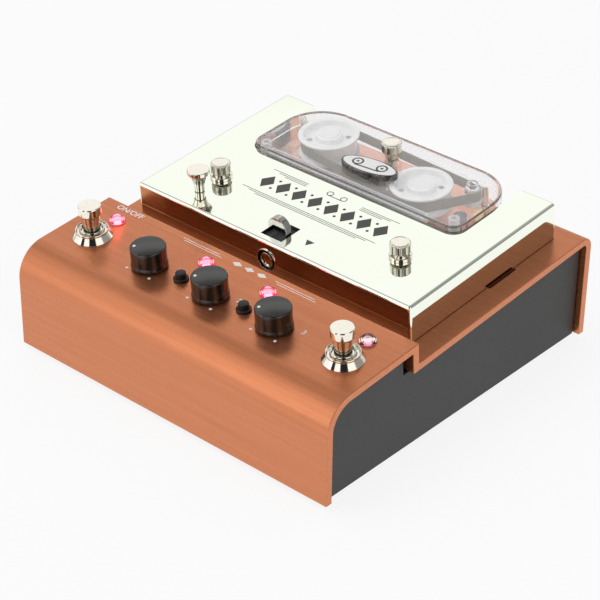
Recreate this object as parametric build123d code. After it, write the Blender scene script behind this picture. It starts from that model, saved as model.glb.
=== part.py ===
from build123d import *
from math import atan2, cos, hypot, radians, sin
import os

os.makedirs("parts", exist_ok=True)

# Tape echo unit, millimetres. +X is the player's right, +Y the rear, +Z up, Z = 0 under the feet.
# The control panel and the shelf are parallel and slope up to the rear. Everything on them is drawn in
# the deck frame: x to the right, v along the shelf from the foot of the step, n square to the shelf.

# ---- Case ----
shell_width = 230.0
shell_depth = 226.5
slope_deg = 4.63
shelf_corner_depth = 72.5      # foot of the step, behind the front face
shelf_corner_height = 53.1     # and above the shell's bottom edge
step = 13.0                    # control panel above the shelf
shell_sheet = 4.5
front_bend = 19.0              # outside radius between the front and the control panel
rear_bend = 7.5
tray_sheet = 1.5
side_inset = 4.0               # side panels behind the shell's ends
tray_gap = 0.3
rear_gap = 1.0                 # side panels to the rear wall
notch_gap = 4.0                # side panels to the step's riser
foot_height = 3.0
foot_r = 7.0
foot_inset = 20.0
bracket_sheet = 2.0
bracket_length = 24.0
bracket_height = 7.0
bracket_x = 42.0
screw_r = 1.5
screw_head_r = 2.8
screw_head = 1.6

# ---- Control panel ----
control_v = -35.7              # line of the knobs
knob_pitch = 46.3
knob_r = 10.5
knob_taper = 0.3
knob_height = 12.8
knob_lift = 1.2
shaft_r = 3.0
shaft_gap = 0.08
pot_r = 8.5
pot_bush_r = 3.5
pot_nut_flat = 10.0
pot_nut_height = 2.2
board_drop = 8.5               # control board below the panel's underside
board_sheet = 1.6
footswitch_edge = 22.0         # footswitch axis from the shell's end
footswitch_v = -34.4
footswitch_bush_r = 6.0
footswitch_body = 18.0
footswitch_depth = 18.0
plunger_r = 4.85
plunger_gap = 0.10
plunger_cap_r = 6.6
plunger_cap_height = 10.0
plunger_height = 20.4          # cap's top above the panel
footswitch_travel = 3.0
dress_nut_r = 11.65
dress_nut_top_r = 8.2
dress_nut_ring_r = 9.5
dress_nut_height = 5.0
button_x = 23.3
button_v = -34.5
button_r = 3.0
button_gap = 0.08
button_height = 5.0
button_travel = 1.5
button_collar_r = 4.35
button_collar = 1.2
button_bush_r = 3.5
button_body = 9.0
led_v = -15.1
led_inner_x = 23.0
lens_r = 4.8
lens_barrel_r = 3.9
lens_height = 4.1
led_r = 2.5
hole_gap = 0.2                 # every panel hole around what passes through it

# ---- Electronics ----
main_board_margin = 16.0
standoff_height = 6.0
jack_bore_r = 3.25
jack_nose_r = 4.75
jack_body_width = 16.0
jack_body_height = 16.0
jack_body_depth = 22.0
jack_x = (-86.0, -58.0, 20.0, 52.0)
jack_nut_flat = 14.0
jack_nut_height = 2.4
power_x = 86.0
power_size = 12.0
power_bore_r = 2.85
power_pin_r = 1.0

# ---- Deck lid ----
lid_side_margin = 14.3         # lid's side to the shell's end
lid_front_v = 10.1
lid_depth = 128.5
lid_height = 23.3              # its top above the shelf
lid_sheet = 1.5
lid_clear = 0.4                # walls above the shelf
lid_bend = 1.8
arm_width = 23.1               # each side of the cut-out
well_front_v = 78.3
screw_x = 66.5                 # lid thumbscrews
screw_v = 44.0
slot_length = 24.0
slot_v = 88.0
slot_width = 1.6
window_x = -1.6
window_v = 22.9
window_width = 15.4
window_depth = 16.0
lock_width = 13.1
lock_height = 9.6              # tab's top above the lid
lock_thick = 4.5
lock_travel = 3.3
catch_x = -1.3
catch_n = 11.0
catch_ring_r = 7.0
catch_ring_wall = 0.9
catch_tube_r = 4.6
catch_tube_wall = 0.8
release_x = -66.2
release_v = 25.6
release_r = 6.5
release_height = 14.2
release_stem_r = 2.5
release_travel = 6.0

# ---- Thumbscrews ----
head_r = 5.9
head_height = 6.4
neck_r = 4.0
neck_height = 1.5
cassette_neck_height = 3.5     # the centre one stands on the cassette without a ferrule
ferrule_r = 6.45
ferrule_height = 2.0
shank_r = 2.0
shank_gap = 0.10
post_r = 4.5

# ---- Cassette ----
well_gap = 0.7                 # lid's cut-out to the cassette
cassette_rear_v = 137.6
cassette_top = 26.3            # above the shelf
cassette_bottom = 8.0
cassette_split = 18.0          # joint between base and cover
cassette_wall = 2.0
cassette_front_r = 9.0
cassette_rear_r = 26.0
reel_r = 18.3
drum_r = 16.2
reel_gap = 0.35                # rim to the cassette's walls
reel_left_offset = 3.0         # left reel axis from the rear corner's centre
reel_right_inset = 46.9        # right reel axis from the cassette's right side
reel_offset_v = 9.8            # right reel in front of the left one
reel_low = 10.6
reel_flange = 1.3
reel_rim_top = 23.5
reel_hub_r = 8.0
reel_hub_top = 24.0
spindle_r = 3.0
roller_inset = 23.3            # roller axis from the cassette's right side
roller_rear = 14.0             # and from its rear side
roller_r = 4.6
roller_flange_r = 5.1
tape_width = 6.3
tape_low = 14.6
tape_thick = 0.4
tape_gap = 0.2
badge_half_length = 18.8
badge_half_width = 7.7
badge_thick = 3.8
badge_v = 97.1
badge_turn = 6.0
cassette_screw_v = 117.0

# ---- Tape drive ----
capstan_r = 2.0
capstan_gap = 0.06
bearing_r = 5.0
flywheel_r = 19.0
flywheel_height = 8.0
flywheel_drop = 12.5           # its top below the shelf's top
motor_x = 10.0
motor_v = 98.0
motor_r = 14.0
motor_height = 24.0
pulley_r = 5.5
motor_shaft_r = 1.0
belt_width = 2.0
belt_thick = 0.8
groove = 1.3

# ---- Places worked out from the values above ----
overall_depth = shell_depth + jack_nut_height
front_y = -overall_depth / 2
rear_y = front_y + shell_depth
half_width = shell_width / 2
corner_y = front_y + shelf_corner_depth
corner_z = foot_height + shelf_corner_height
ca = cos(radians(slope_deg))
sa = sin(radians(slope_deg))
deck = Plane(origin=(0, corner_y, corner_z), x_dir=(1, 0, 0), z_dir=(0, -sa, ca)).location

panel_under = step - shell_sheet
board_top = panel_under - board_drop
footswitch_x = half_width - footswitch_edge
knobs = {"left": -knob_pitch, "middle": 0.0, "right": knob_pitch}
lights = (-footswitch_x, -led_inner_x, led_inner_x, footswitch_x)
floor_top = foot_height + tray_sheet
board_z = floor_top + standoff_height
board_z_top = board_z + board_sheet
jack_z = board_z_top + jack_body_height / 2
wall_in_y = rear_y - shell_sheet

lid_half = half_width - lid_side_margin
lid_rear_v = lid_front_v + lid_depth
lid_under = lid_height - lid_sheet
well_half = lid_half - arm_width
cassette_half = well_half - well_gap
cassette_front_v = well_front_v + well_gap
cassette_under = cassette_top - cassette_wall
floor_in = cassette_bottom + cassette_wall
cassette_screw = (0.0, cassette_screw_v)
reach = cassette_wall + reel_gap + reel_r
reel_left_at = (-cassette_half + cassette_rear_r + reel_left_offset,
                cassette_rear_v - reach - 0.4)
reel_right_at = (cassette_half - reel_right_inset, reel_left_at[1] - reel_offset_v)
roller_at = (cassette_half - roller_inset, cassette_rear_v - roller_rear)
capstan_reach = roller_r + 2 * tape_gap + tape_thick + capstan_r
capstan_at = (roller_at[0] + 0.8 * capstan_reach, roller_at[1] + 0.6 * capstan_reach)
flywheel_top = -flywheel_drop
belt_mid = flywheel_top - flywheel_height / 2


# ---- Helpers ----
def deck_point(v, n):
    """(y, z) of a point of the deck frame."""
    return (corner_y + v * ca - n * sa, corner_z + v * sa + n * ca)


def height_at(y, n):
    """Height of the plane n above the shelf, where it stands over y."""
    v = (y - corner_y + n * sa) / ca
    return deck_point(v, n)[1]


def side_face(front, rear, riser, inset, bottom):
    """Outline of the case seen from its side, each wall moved in by its own amount."""
    y0 = front_y + front
    y1 = rear_y - rear
    corners = [
        (y0, bottom),
        (y0, height_at(y0, step - inset)),
        deck_point(-riser, step - inset),
        deck_point(-riser, -inset),
        (y1, height_at(y1, -inset)),
        (y1, bottom),
    ]
    face = make_face(Polyline(*corners, close=True))
    for corner, radius in ((corners[1], front_bend - front), (corners[4], rear_bend - rear)):
        if radius > 0:
            near = face.vertices().sort_by_distance((corner[0], corner[1], 0))[0]
            face = fillet(near, radius)
    return face


def slab(face, x0, x1):
    """A side outline made solid between two places along X."""
    return Pos(x0, 0, 0) * extrude(Plane.YZ * face, x1 - x0)


def cyl(x, v, low, high, r):
    return Pos(x, v, (low + high) / 2) * Cylinder(r, high - low)


def block(x0, x1, v0, v1, low, high):
    place = Pos((x0 + x1) / 2, (v0 + v1) / 2, (low + high) / 2)
    return place * Box(x1 - x0, v1 - v0, high - low)


def cone(x, v, low, high, r_low, r_high):
    return Pos(x, v, (low + high) / 2) * Cone(r_low, r_high, high - low)


def hexagon(x, v, low, high, flat):
    sketch = RegularPolygon(flat / 2, 6, major_radius=False)
    return Pos(x, v, low) * extrude(sketch, high - low)


def ring(x, v, low, high, r_out, r_in):
    return cyl(x, v, low, high, r_out) - cyl(x, v, low - 1, high + 1, r_in)


def turned(points):
    """Solid of revolution about the n axis, from (radius, n) corners."""
    face = Plane.XZ * make_face(Polyline(*points, close=True))
    return revolve(face, Axis.Z)


def on_deck(solids):
    return [deck * solid for solid in solids]


def rearward(x, z, y0, y1, r):
    """Cylinder along Y between two depths."""
    return Pos(x, (y0 + y1) / 2, z) * Rot(90, 0, 0) * Cylinder(r, y1 - y0)


def forward_tube(x, n, v0, v1, r):
    """Cylinder along v, in the deck frame."""
    return Pos(x, (v0 + v1) / 2, n) * Rot(90, 0, 0) * Cylinder(r, v1 - v0)


def save(name, solids):
    export_step(Compound(children=list(solids)), "parts/" + name + ".step")


# ---- Case: shell, tray, feet and their fixings ----
def top_shell():
    outer = slab(side_face(0, 0, 0, 0, foot_height), -half_width, half_width)
    t = shell_sheet
    inner = slab(side_face(t, t, t, t, foot_height - 1), -half_width - 1, half_width + 1)
    shell = outer - inner
    holes = []
    for x in knobs.values():
        holes.append(cyl(x, control_v, panel_under - 1, step + 1, pot_bush_r + hole_gap))
    for side in (-1, 1):
        holes.append(cyl(side * footswitch_x, footswitch_v, panel_under - 1, step + 1,
                         footswitch_bush_r + hole_gap))
        holes.append(cyl(side * button_x, button_v, panel_under - 1, step + 1,
                         button_bush_r + hole_gap))
        slot_x = side * (lid_half + 0.3 + slot_width / 2)
        holes.append(block(slot_x - slot_width / 2, slot_x + slot_width / 2,
                           slot_v - slot_length / 2, slot_v + slot_length / 2, -t - 1, 1))
    for x in lights:
        holes.append(cyl(x, led_v, panel_under - 1, step + 1, lens_barrel_r + hole_gap))
    holes.append(cyl(*capstan_at, -t - 1, 1, bearing_r + hole_gap))
    shell -= on_deck(holes)
    for x in jack_x:
        shell -= rearward(x, jack_z, wall_in_y - 1, rear_y + 1, jack_nose_r + hole_gap)
    half = power_size / 2 + hole_gap
    shell -= (Pos(power_x, rear_y - t / 2, board_z_top + power_size / 2)
              * Box(2 * half, t + 2, 2 * half))
    return shell


def screw_places():
    for side in (-1, 1):
        yield side * bracket_x, front_y + shell_sheet + bracket_length / 4 + 3
        yield side * bracket_x, rear_y - shell_sheet - bracket_length / 4 - 3


def inner_tray():
    t = shell_sheet + tray_gap
    edge = half_width - side_inset
    side = side_face(t, shell_sheet + rear_gap, shell_sheet + notch_gap, t, foot_height)
    tray = slab(side, -edge, -edge + tray_sheet) + slab(side, edge - tray_sheet, edge)
    y0 = front_y + t
    y1 = rear_y - shell_sheet - rear_gap
    tray += block(-edge, edge, y0, y1, foot_height, floor_top)
    for x, y in screw_places():
        tray -= cyl(x, y, foot_height - 1, floor_top + 1, screw_r + hole_gap)
    return tray


def rubber_feet():
    for x in (-half_width + foot_inset, half_width - foot_inset):
        for y in (front_y + foot_inset, rear_y - foot_inset):
            yield cone(x, y, 0, foot_height, foot_r - 0.8, foot_r)


def base_screws():
    for x, y in screw_places():
        head = cyl(x, y, foot_height - screw_head, foot_height, screw_head_r)
        head -= block(x - 2.0, x + 2.0, y - 0.4, y + 0.4, 0, foot_height - screw_head + 0.8)
        yield head + cyl(x, y, foot_height, floor_top + bracket_sheet, screw_r)


def tray_brackets():
    arm = 12.0
    for side in (-1, 1):
        x0 = side * bracket_x - bracket_length / 2
        x1 = side * bracket_x + bracket_length / 2
        for wall, sign in ((front_y + shell_sheet, 1), (wall_in_y, -1)):
            far = wall + sign * (arm + 6)
            near = wall + sign * bracket_sheet
            foot = block(x0, x1, min(wall, far), max(wall, far), floor_top,
                         floor_top + bracket_sheet)
            upright = block(x0, x1, min(wall, near), max(wall, near), floor_top,
                            floor_top + bracket_height)
            bracket = foot + upright
            for x, y in screw_places():
                bracket -= cyl(x, y, floor_top - 1, floor_top + bracket_height, screw_r + 0.05)
            yield bracket


# ---- Control panel ----
def knob(x):
    low = step + knob_lift
    top = low + knob_height
    side = [(0, low), (knob_r, low), (knob_r - knob_taper, top - 0.8),
            (knob_r - knob_taper - 0.8, top), (0, top)]
    body = Pos(x, control_v, 0) * turned(side)
    body -= cyl(x, control_v, low - 1, step + pot_nut_height + 1.6, pot_nut_flat / 2 + 2.2)
    body -= cyl(x, control_v, low, top - 3, shaft_r)
    shaft = cyl(x, control_v, board_top + 3, top - 3, shaft_r - 0.01)
    # The pointer is a white plug in the top, turned to the low end of the scale.
    angle = radians(225)
    px = x + 7.4 * cos(angle)
    pv = control_v + 7.4 * sin(angle)
    body -= cyl(px, pv, top - 0.8, top + 1, 0.9)
    plug = cyl(px, pv, top - 0.8, top, 0.88)
    return [body, shaft, plug]


def pot_bodies():
    for x in knobs.values():
        body = cyl(x, control_v, board_top, panel_under, pot_r)
        body += block(x - 6, x + 6, control_v - pot_r - 4, control_v, board_top, board_top + 2.5)
        body += cyl(x, control_v, panel_under, step + pot_nut_height + 1.0, pot_bush_r)
        yield body - cyl(x, control_v, board_top + 2.5, step + 9, shaft_r + shaft_gap)


def panel_nuts():
    for x in knobs.values():
        nut = hexagon(x, control_v, step, step + pot_nut_height, pot_nut_flat)
        yield deck * (nut - cyl(x, control_v, step - 1, step + 9, pot_bush_r + 0.02))
    for x in jack_x:
        nut = Pos(x, rear_y, jack_z) * Rot(-90, 0, 0) * hexagon(0, 0, 0, jack_nut_height,
                                                                 jack_nut_flat)
        yield nut - rearward(x, jack_z, rear_y - 1, rear_y + 9, jack_nose_r + 0.02)


def footswitch_bodies():
    low = panel_under - footswitch_depth
    half = footswitch_body / 2
    for side in (-1, 1):
        x = side * footswitch_x
        body = block(x - half, x + half, footswitch_v - half, footswitch_v + half, low,
                     panel_under)
        body += cyl(x, footswitch_v, panel_under, step + dress_nut_height - 1, footswitch_bush_r)
        bore_low = step + plunger_height - plunger_cap_height - 21 - footswitch_travel - 0.5
        yield body - cyl(x, footswitch_v, bore_low, step + 20, plunger_r + plunger_gap)
        for row in (-5, 0, 5):
            for column in (-5, 0, 5):
                yield block(x + row - 1, x + row + 1, footswitch_v + column - 0.4,
                            footswitch_v + column + 0.4, low - 4, low)


def footswitch_dress_nuts():
    h = dress_nut_height
    side = [(footswitch_bush_r + 0.02, step), (dress_nut_r, step), (dress_nut_r, step + 0.8),
            (dress_nut_top_r, step + 0.6 * h), (dress_nut_top_r, step + 0.7 * h),
            (dress_nut_ring_r, step + 0.76 * h), (dress_nut_ring_r, step + 0.94 * h),
            (dress_nut_ring_r - 0.5, step + h), (footswitch_bush_r + 0.02, step + h)]
    for sign in (-1, 1):
        yield Pos(sign * footswitch_x, footswitch_v, 0) * turned(side)


def footswitch_plunger(sign):
    top = step + plunger_height
    cap_low = top - plunger_cap_height
    side = [(0, cap_low - 21), (plunger_r, cap_low - 21), (plunger_r, cap_low),
            (plunger_cap_r - 0.4, cap_low), (plunger_cap_r, cap_low + 0.4),
            (plunger_cap_r, top - 1.2), (plunger_cap_r - 1.2, top - 0.2), (0, top)]
    return Pos(sign * footswitch_x, footswitch_v, 0) * turned(side)


def button_bodies():
    half = button_body / 2
    for side in (-1, 1):
        x = side * button_x
        body = block(x - half, x + half, button_v - half, button_v + half, board_top,
                     panel_under)
        body += cyl(x, button_v, panel_under, step, button_bush_r)
        body += cone(x, button_v, step, step + button_collar, button_collar_r,
                     button_collar_r - 0.6)
        yield body - cyl(x, button_v, board_top + 2.5, step + 9, button_r + button_gap)


def button(sign):
    top = step + button_height
    low = board_top + 2.5 + button_travel + 0.4
    cap = cyl(sign * button_x, button_v, low, top - 0.6, button_r)
    return cap + cone(sign * button_x, button_v, top - 0.6, top, button_r, button_r - 0.6)


def indicator_lenses():
    for x in lights:
        barrel = cyl(x, led_v, panel_under - 2, step, lens_barrel_r)
        ball_r = (lens_r**2 + lens_height**2) / (2 * lens_height)
        dome = Pos(x, led_v, step + lens_height - ball_r) * Sphere(ball_r)
        dome &= cyl(x, led_v, step, step + lens_height + 1, lens_r)
        yield barrel + dome - cyl(x, led_v, panel_under - 3, step + 0.6, led_r + 0.1)


def indicator_leds():
    for x in lights:
        led = cyl(x, led_v, board_top + 4, step - led_r + 0.4, led_r)
        dome = Pos(x, led_v, step - led_r + 0.4) * Sphere(led_r)
        yield led + dome


def led_spacers():
    for x in lights:
        yield cyl(x, led_v, board_top, board_top + 4, led_r + 0.6)


def control_board():
    x1 = half_width - side_inset - tray_sheet - 5
    board = block(-x1, x1, -62, -8, board_top - board_sheet, board_top)
    half = footswitch_body / 2 + 0.8
    for side in (-1, 1):
        x = side * footswitch_x
        board -= block(x - half, x + half, footswitch_v - half, footswitch_v + half,
                       board_top - 9, board_top + 9)
    return board


# ---- Electronics in the tray ----
def main_board():
    x1 = half_width - main_board_margin
    return block(-x1, x1, front_y + main_board_margin + 8, wall_in_y - 4, board_z, board_z_top)


def board_standoffs():
    x1 = half_width - main_board_margin - 6
    for x in (-x1, 0, x1):
        for y in (front_y + main_board_margin + 16, wall_in_y - 30):
            yield cyl(x, y, floor_top, board_z, 3.0)


def board_components():
    y = corner_y
    for i, x in enumerate((-90, -78, -66)):
        yield cyl(x, y + 22, board_z_top, board_z_top + 16 - 2 * i, 5)
    for x in (-40, -18, 40, 62):
        yield block(x - 5, x + 5, y - 22, y - 12, board_z_top, board_z_top + 2)
    yield block(60, 88, y + 8, y + 36, board_z_top, board_z_top + 14)
    for i in range(6):
        yield block(-66 + 9 * i, -63 + 9 * i, y - 44, y - 38, board_z_top, board_z_top + 1.5)
    for x in (-30, 30):
        yield block(x - 9, x + 9, y + 16, y + 21, board_z_top, board_z_top + 8)


def riser_board():
    """Upright board with a connector at each end, between the main and the control boards."""
    y0 = deck_point(-52, board_top)[0]
    top = height_at(y0, board_top - board_sheet)
    card = block(-16, 16, y0, y0 + board_sheet, board_z_top + 2, top - 3)
    foot = block(-18, 18, y0 - 3, y0 + board_sheet + 3, board_z_top, board_z_top + 6)
    v0 = -52 - 3
    head = deck * block(-18, 18, v0, v0 + board_sheet + 6, board_top - board_sheet - 6,
                        board_top - board_sheet)
    card -= head
    return [card + foot, head]


def jack_bodies():
    w = jack_body_width / 2
    for x in jack_x:
        body = block(x - w, x + w, wall_in_y - jack_body_depth, wall_in_y, board_z_top,
                     board_z_top + jack_body_height)
        body += rearward(x, jack_z, wall_in_y, rear_y + jack_nut_height, jack_nose_r)
        yield body - rearward(x, jack_z, wall_in_y - jack_body_depth + 3, rear_y + 9, jack_bore_r)


def power_socket():
    half = power_size / 2
    mid = board_z_top + half
    body = block(power_x - half, power_x + half, wall_in_y - 12, rear_y, board_z_top,
                 board_z_top + power_size)
    body -= rearward(power_x, mid, rear_y - 9.5, rear_y + 1, power_bore_r)
    return body + rearward(power_x, mid, rear_y - 10, rear_y - 1, power_pin_r)


# ---- Tape drive, hung under the shelf and standing through it ----
def posts_on_shelf():
    for side in (-1, 1):
        x = side * screw_x
        post = cyl(x, screw_v, 0, lid_under, post_r)
        yield post - cyl(x, screw_v, 3, lid_under + 1, shank_r + shank_gap)


def cassette_post():
    x, v = cassette_screw
    post = cyl(x, v, 0, cassette_under - 0.3, neck_r)
    return post - cyl(x, v, 3, cassette_top, shank_r + shank_gap)


def rest_places():
    half = cassette_half - 11
    return ((-half, cassette_front_v + 9), (half, cassette_front_v + 9),
            (-half + 8, cassette_rear_v - 10), (half - 12, cassette_rear_v - 26))


def cassette_rests():
    for x, v in rest_places():
        yield cyl(x, v, 0, cassette_bottom, 4.0)


def head_bridge():
    return block(-21, 14, badge_v - 9, badge_v + 12, 0, 2)


def tape_front(x):
    """v of the tape's straight front run between the two reels."""
    (x0, v0), (x1, v1) = reel_left_at, reel_right_at
    r = drum_r + tape_gap
    return v0 - r + (v1 - v0) * (x - x0) / (x1 - x0)


def tape_head(x):
    """One head: a block on the bridge whose rounded nose faces the tape from inside the loop."""
    turn = atan2(reel_right_at[1] - reel_left_at[1], reel_right_at[0] - reel_left_at[0])
    v = tape_front(x) + 0.9
    shape = block(-3.2, 3.2, 1.2, 7, 2, tape_low + tape_width + 1)
    shape += cyl(0, 3.2, 2, tape_low + tape_width + 1, 3.2)
    return Pos(x, v, 0) * Rot(0, 0, turn * 57.29578) * shape


def hull(circles, low, high, grow):
    """Solid between two heights around a set of round things, grown by a distance."""
    sketch = None
    for (x, v), r in circles:
        disc = Pos(x, v) * Circle(r + grow)
        sketch = disc if sketch is None else sketch + disc
    outline = make_hull(sketch.edges())
    return Pos(0, 0, low) * extrude(outline, high - low)


def tape_loop():
    circles = [(reel_left_at, drum_r), (reel_right_at, drum_r), (roller_at, roller_r)]
    high = tape_low + tape_width
    outer = hull(circles, tape_low, high, tape_gap + tape_thick)
    return outer - hull(circles, tape_low - 1, high + 1, tape_gap)


def motor_bracket():
    low = flywheel_top - flywheel_height - 3
    plate = cyl(motor_x, motor_v, low - 1.5, low, 22)
    plate -= cyl(motor_x, motor_v, low - 5, low + 5, 4)
    line = atan2(capstan_at[1] - motor_v, capstan_at[0] - motor_x)
    for turn in (60, 180, 300):
        angle = line + radians(turn)
        plate += cyl(motor_x + 19 * cos(angle), motor_v + 19 * sin(angle), low - 1.5,
                     -shell_sheet, 2.5)
    return plate


def motor():
    top = flywheel_top - flywheel_height - 3 - 1.5
    body = cyl(motor_x, motor_v, top - motor_height, top, motor_r)
    body += cyl(motor_x, motor_v, top, top + 1.4, 3.6)
    return body - cyl(motor_x, motor_v, top - 20, top + 5, motor_shaft_r + 0.06)


def grooved_wheel(at, low, high, r, bore_r):
    wheel = cyl(*at, low, high, r)
    wheel -= ring(*at, belt_mid - 2, belt_mid + 2, r + 1, r - groove)
    return wheel - cyl(*at, low - 1, high + 1, bore_r) if bore_r else wheel


def motor_pulley():
    at = (motor_x, motor_v)
    wheel = grooved_wheel(at, belt_mid - 3.5, belt_mid + 3.5, pulley_r, 0)
    return wheel + cyl(*at, flywheel_top - flywheel_height - 3 - 1.5 - 18, belt_mid, motor_shaft_r)


def drive_belt():
    circles = [((motor_x, motor_v), pulley_r - groove), (capstan_at, flywheel_r - groove)]
    low = belt_mid - belt_width / 2
    high = belt_mid + belt_width / 2
    outer = hull(circles, low, high, 0.2 + belt_thick)
    return outer - hull(circles, low - 1, high + 1, 0.2)


def capstan():
    return cyl(*capstan_at, flywheel_top - flywheel_height - 1, cassette_under - 1.5, capstan_r)


def capstan_bearing():
    sleeve = cyl(*capstan_at, flywheel_top + 0.5, 0, bearing_r)
    sleeve += cyl(*capstan_at, 0, 1.5, bearing_r + 2)
    return sleeve - cyl(*capstan_at, flywheel_top - 1, 9, capstan_r + capstan_gap)


# ---- Deck lid and what rides on it ----
def lid_box():
    box = block(-lid_half, lid_half, lid_front_v, lid_rear_v, lid_clear, lid_height)
    edges = box.edges().filter_by(Axis.Z) + box.faces().sort_by(Axis.Z)[-1].edges()
    box = fillet(edges, lid_bend)
    t = lid_sheet
    inner = block(-lid_half + t, lid_half - t, lid_front_v + t, well_front_v - t, -1, lid_under)
    for side in (-1, 1):
        arm = sorted((side * (well_half + t), side * (lid_half - t)))
        inner += block(*arm, lid_front_v + t, lid_rear_v - t, -1, lid_under)
    well = block(-well_half, well_half, well_front_v, lid_rear_v + 1, -1, lid_height + 1)
    front_corners = well.edges().filter_by(Axis.Z).group_by(Axis.Y)[0]
    return box - inner - fillet(front_corners, cassette_front_r + well_gap)


def deck_lid():
    lid = lid_box()
    for side in (-1, 1):
        lid -= cyl(side * screw_x, screw_v, lid_under - 1, lid_height + 1, shank_r + 0.6)
    lid -= block(window_x - window_width / 2, window_x + window_width / 2,
                 window_v - window_depth / 2, window_v + window_depth / 2,
                 lid_under - 1, lid_height + 1)
    lid -= cyl(release_x, release_v, lid_under - 1, lid_height + 1, release_stem_r + hole_gap)
    hole_r = catch_ring_r - catch_ring_wall + 0.4
    lid -= forward_tube(catch_x, catch_n, lid_front_v - 1, lid_front_v + lid_sheet + 1, hole_r)
    return lid


def thumbscrew_ferrules():
    for side in (-1, 1):
        x = side * screw_x
        side_line = [(shank_r + 0.6, lid_height), (ferrule_r, lid_height),
                     (ferrule_r, lid_height + ferrule_height - 0.5),
                     (ferrule_r - 0.5, lid_height + ferrule_height),
                     (shank_r + 0.6, lid_height + ferrule_height)]
        yield Pos(x, screw_v, 0) * turned(side_line)


def thumbscrew(at, seat, low, neck):
    """Knurled head, polished neck and shank; its neck stands on the seat."""
    neck_top = seat + neck
    top = neck_top + head_height
    side = [(0, low), (shank_r, low), (shank_r, seat), (neck_r, seat),
            (neck_r, neck_top), (head_r, neck_top + 0.3), (head_r, top - 0.4),
            (head_r - 0.4, top), (0, top - 0.3)]
    return Pos(*at, 0) * turned(side)


def catch_barrel():
    wall = lid_front_v
    back = wall + lid_sheet
    flange = forward_tube(catch_x, catch_n, back, back + 1.2, catch_ring_r + 0.5)
    tube = forward_tube(catch_x, catch_n, wall + 0.3, back + 12, catch_tube_r)
    barrel = flange + tube
    barrel -= forward_tube(catch_x, catch_n, wall, back + 13, catch_tube_r - catch_tube_wall)
    ring_out = forward_tube(catch_x, catch_n, wall - 0.6, wall, catch_ring_r)
    ring_out += forward_tube(catch_x, catch_n, wall, back, catch_ring_r - catch_ring_wall + 0.35)
    ring_in = forward_tube(catch_x, catch_n, wall - 1, back + 1, catch_ring_r - 2 * catch_ring_wall)
    return [barrel, ring_out - ring_in]


def release_knob():
    low = lid_under - 15
    collar = low + 2
    top = lid_height + release_height
    stem = release_stem_r
    side = [(0, low), (stem, low), (stem, collar), (stem + 1.5, collar),
            (stem + 1.5, collar + 1.2), (stem, collar + 1.2), (stem, top - 7.2),
            (stem + 1.4, top - 6.2), (release_r - 2.0, top - 3.4), (release_r, top - 2.6),
            (release_r, top - 0.5), (release_r - 0.5, top), (0, top)]
    return Pos(release_x, release_v, 0) * turned(side)


def release_bushing():
    return ring(release_x, release_v, lid_under - 4.8, lid_under, release_stem_r + 2.5,
                release_stem_r + 0.08)


def lock_slider():
    """Slide plate under the lid with an upright thumb tab, round on top. It slides forward."""
    x = window_x
    v = window_v - 0.55
    plate_top = lid_under - 0.3
    reach_x = window_width / 2 + 1.2
    plate = block(x - reach_x, x + reach_x, window_v - window_depth / 2 + 0.2,
                  window_v + window_depth / 2 + lock_travel + 0.4, plate_top - 1.4, plate_top)
    r = lock_width / 2
    tab_top = lid_height + lock_height
    tab = block(x - r, x + r, v - lock_thick / 2, v + lock_thick / 2, plate_top, tab_top - r)
    tab += forward_tube(x, tab_top - r, v - lock_thick / 2, v + lock_thick / 2, r)
    return plate + tab


def lock_guides():
    """Two rails under the lid; each lip holds one edge of the slide plate."""
    plate_low = lid_under - 0.3 - 1.4
    edge = window_width / 2 + 1.2 + 0.2
    v0 = lid_front_v + lid_sheet + 0.4
    v1 = window_v + window_depth / 2 + lock_travel + 2.0
    for side in (-1, 1):
        x0 = window_x + side * edge
        x1 = window_x + side * (edge + 1.4)
        lip = window_x + side * (edge - 1.6)
        rail = block(min(x0, x1), max(x0, x1), v0, v1, plate_low - 1.4, lid_under)
        rail += block(min(lip, x0), max(lip, x0), v0, v1, plate_low - 1.4, plate_low - 0.2)
        yield rail


# ---- Cassette ----
def cassette_outline(inset):
    """Rounded outline, tight at the front and wide at the rear."""
    x = cassette_half - inset
    v0 = cassette_front_v + inset
    v1 = cassette_rear_v - inset
    face = Pos(0, (v0 + v1) / 2) * Rectangle(2 * x, v1 - v0)
    corners = face.vertices().sort_by(Axis.Y)
    face = fillet(corners[:2], cassette_front_r - inset)
    corners = face.vertices().sort_by(Axis.Y)
    return fillet(corners[-2:], cassette_rear_r - inset)


def prism(face, low, high):
    return Pos(0, 0, low) * extrude(face, high - low)


def corner_posts():
    """(x, v, outside radius, bore radius) of the base's hollow posts."""
    half = cassette_half
    return ((-half + 6.8, cassette_front_v + 7.5, 3.3, 1.7),
            (half - 9.4, cassette_front_v + 10.2, 3.3, 1.7),
            (-half + 5.6, cassette_rear_v - 17.6, 2.2, 1.0))


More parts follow.
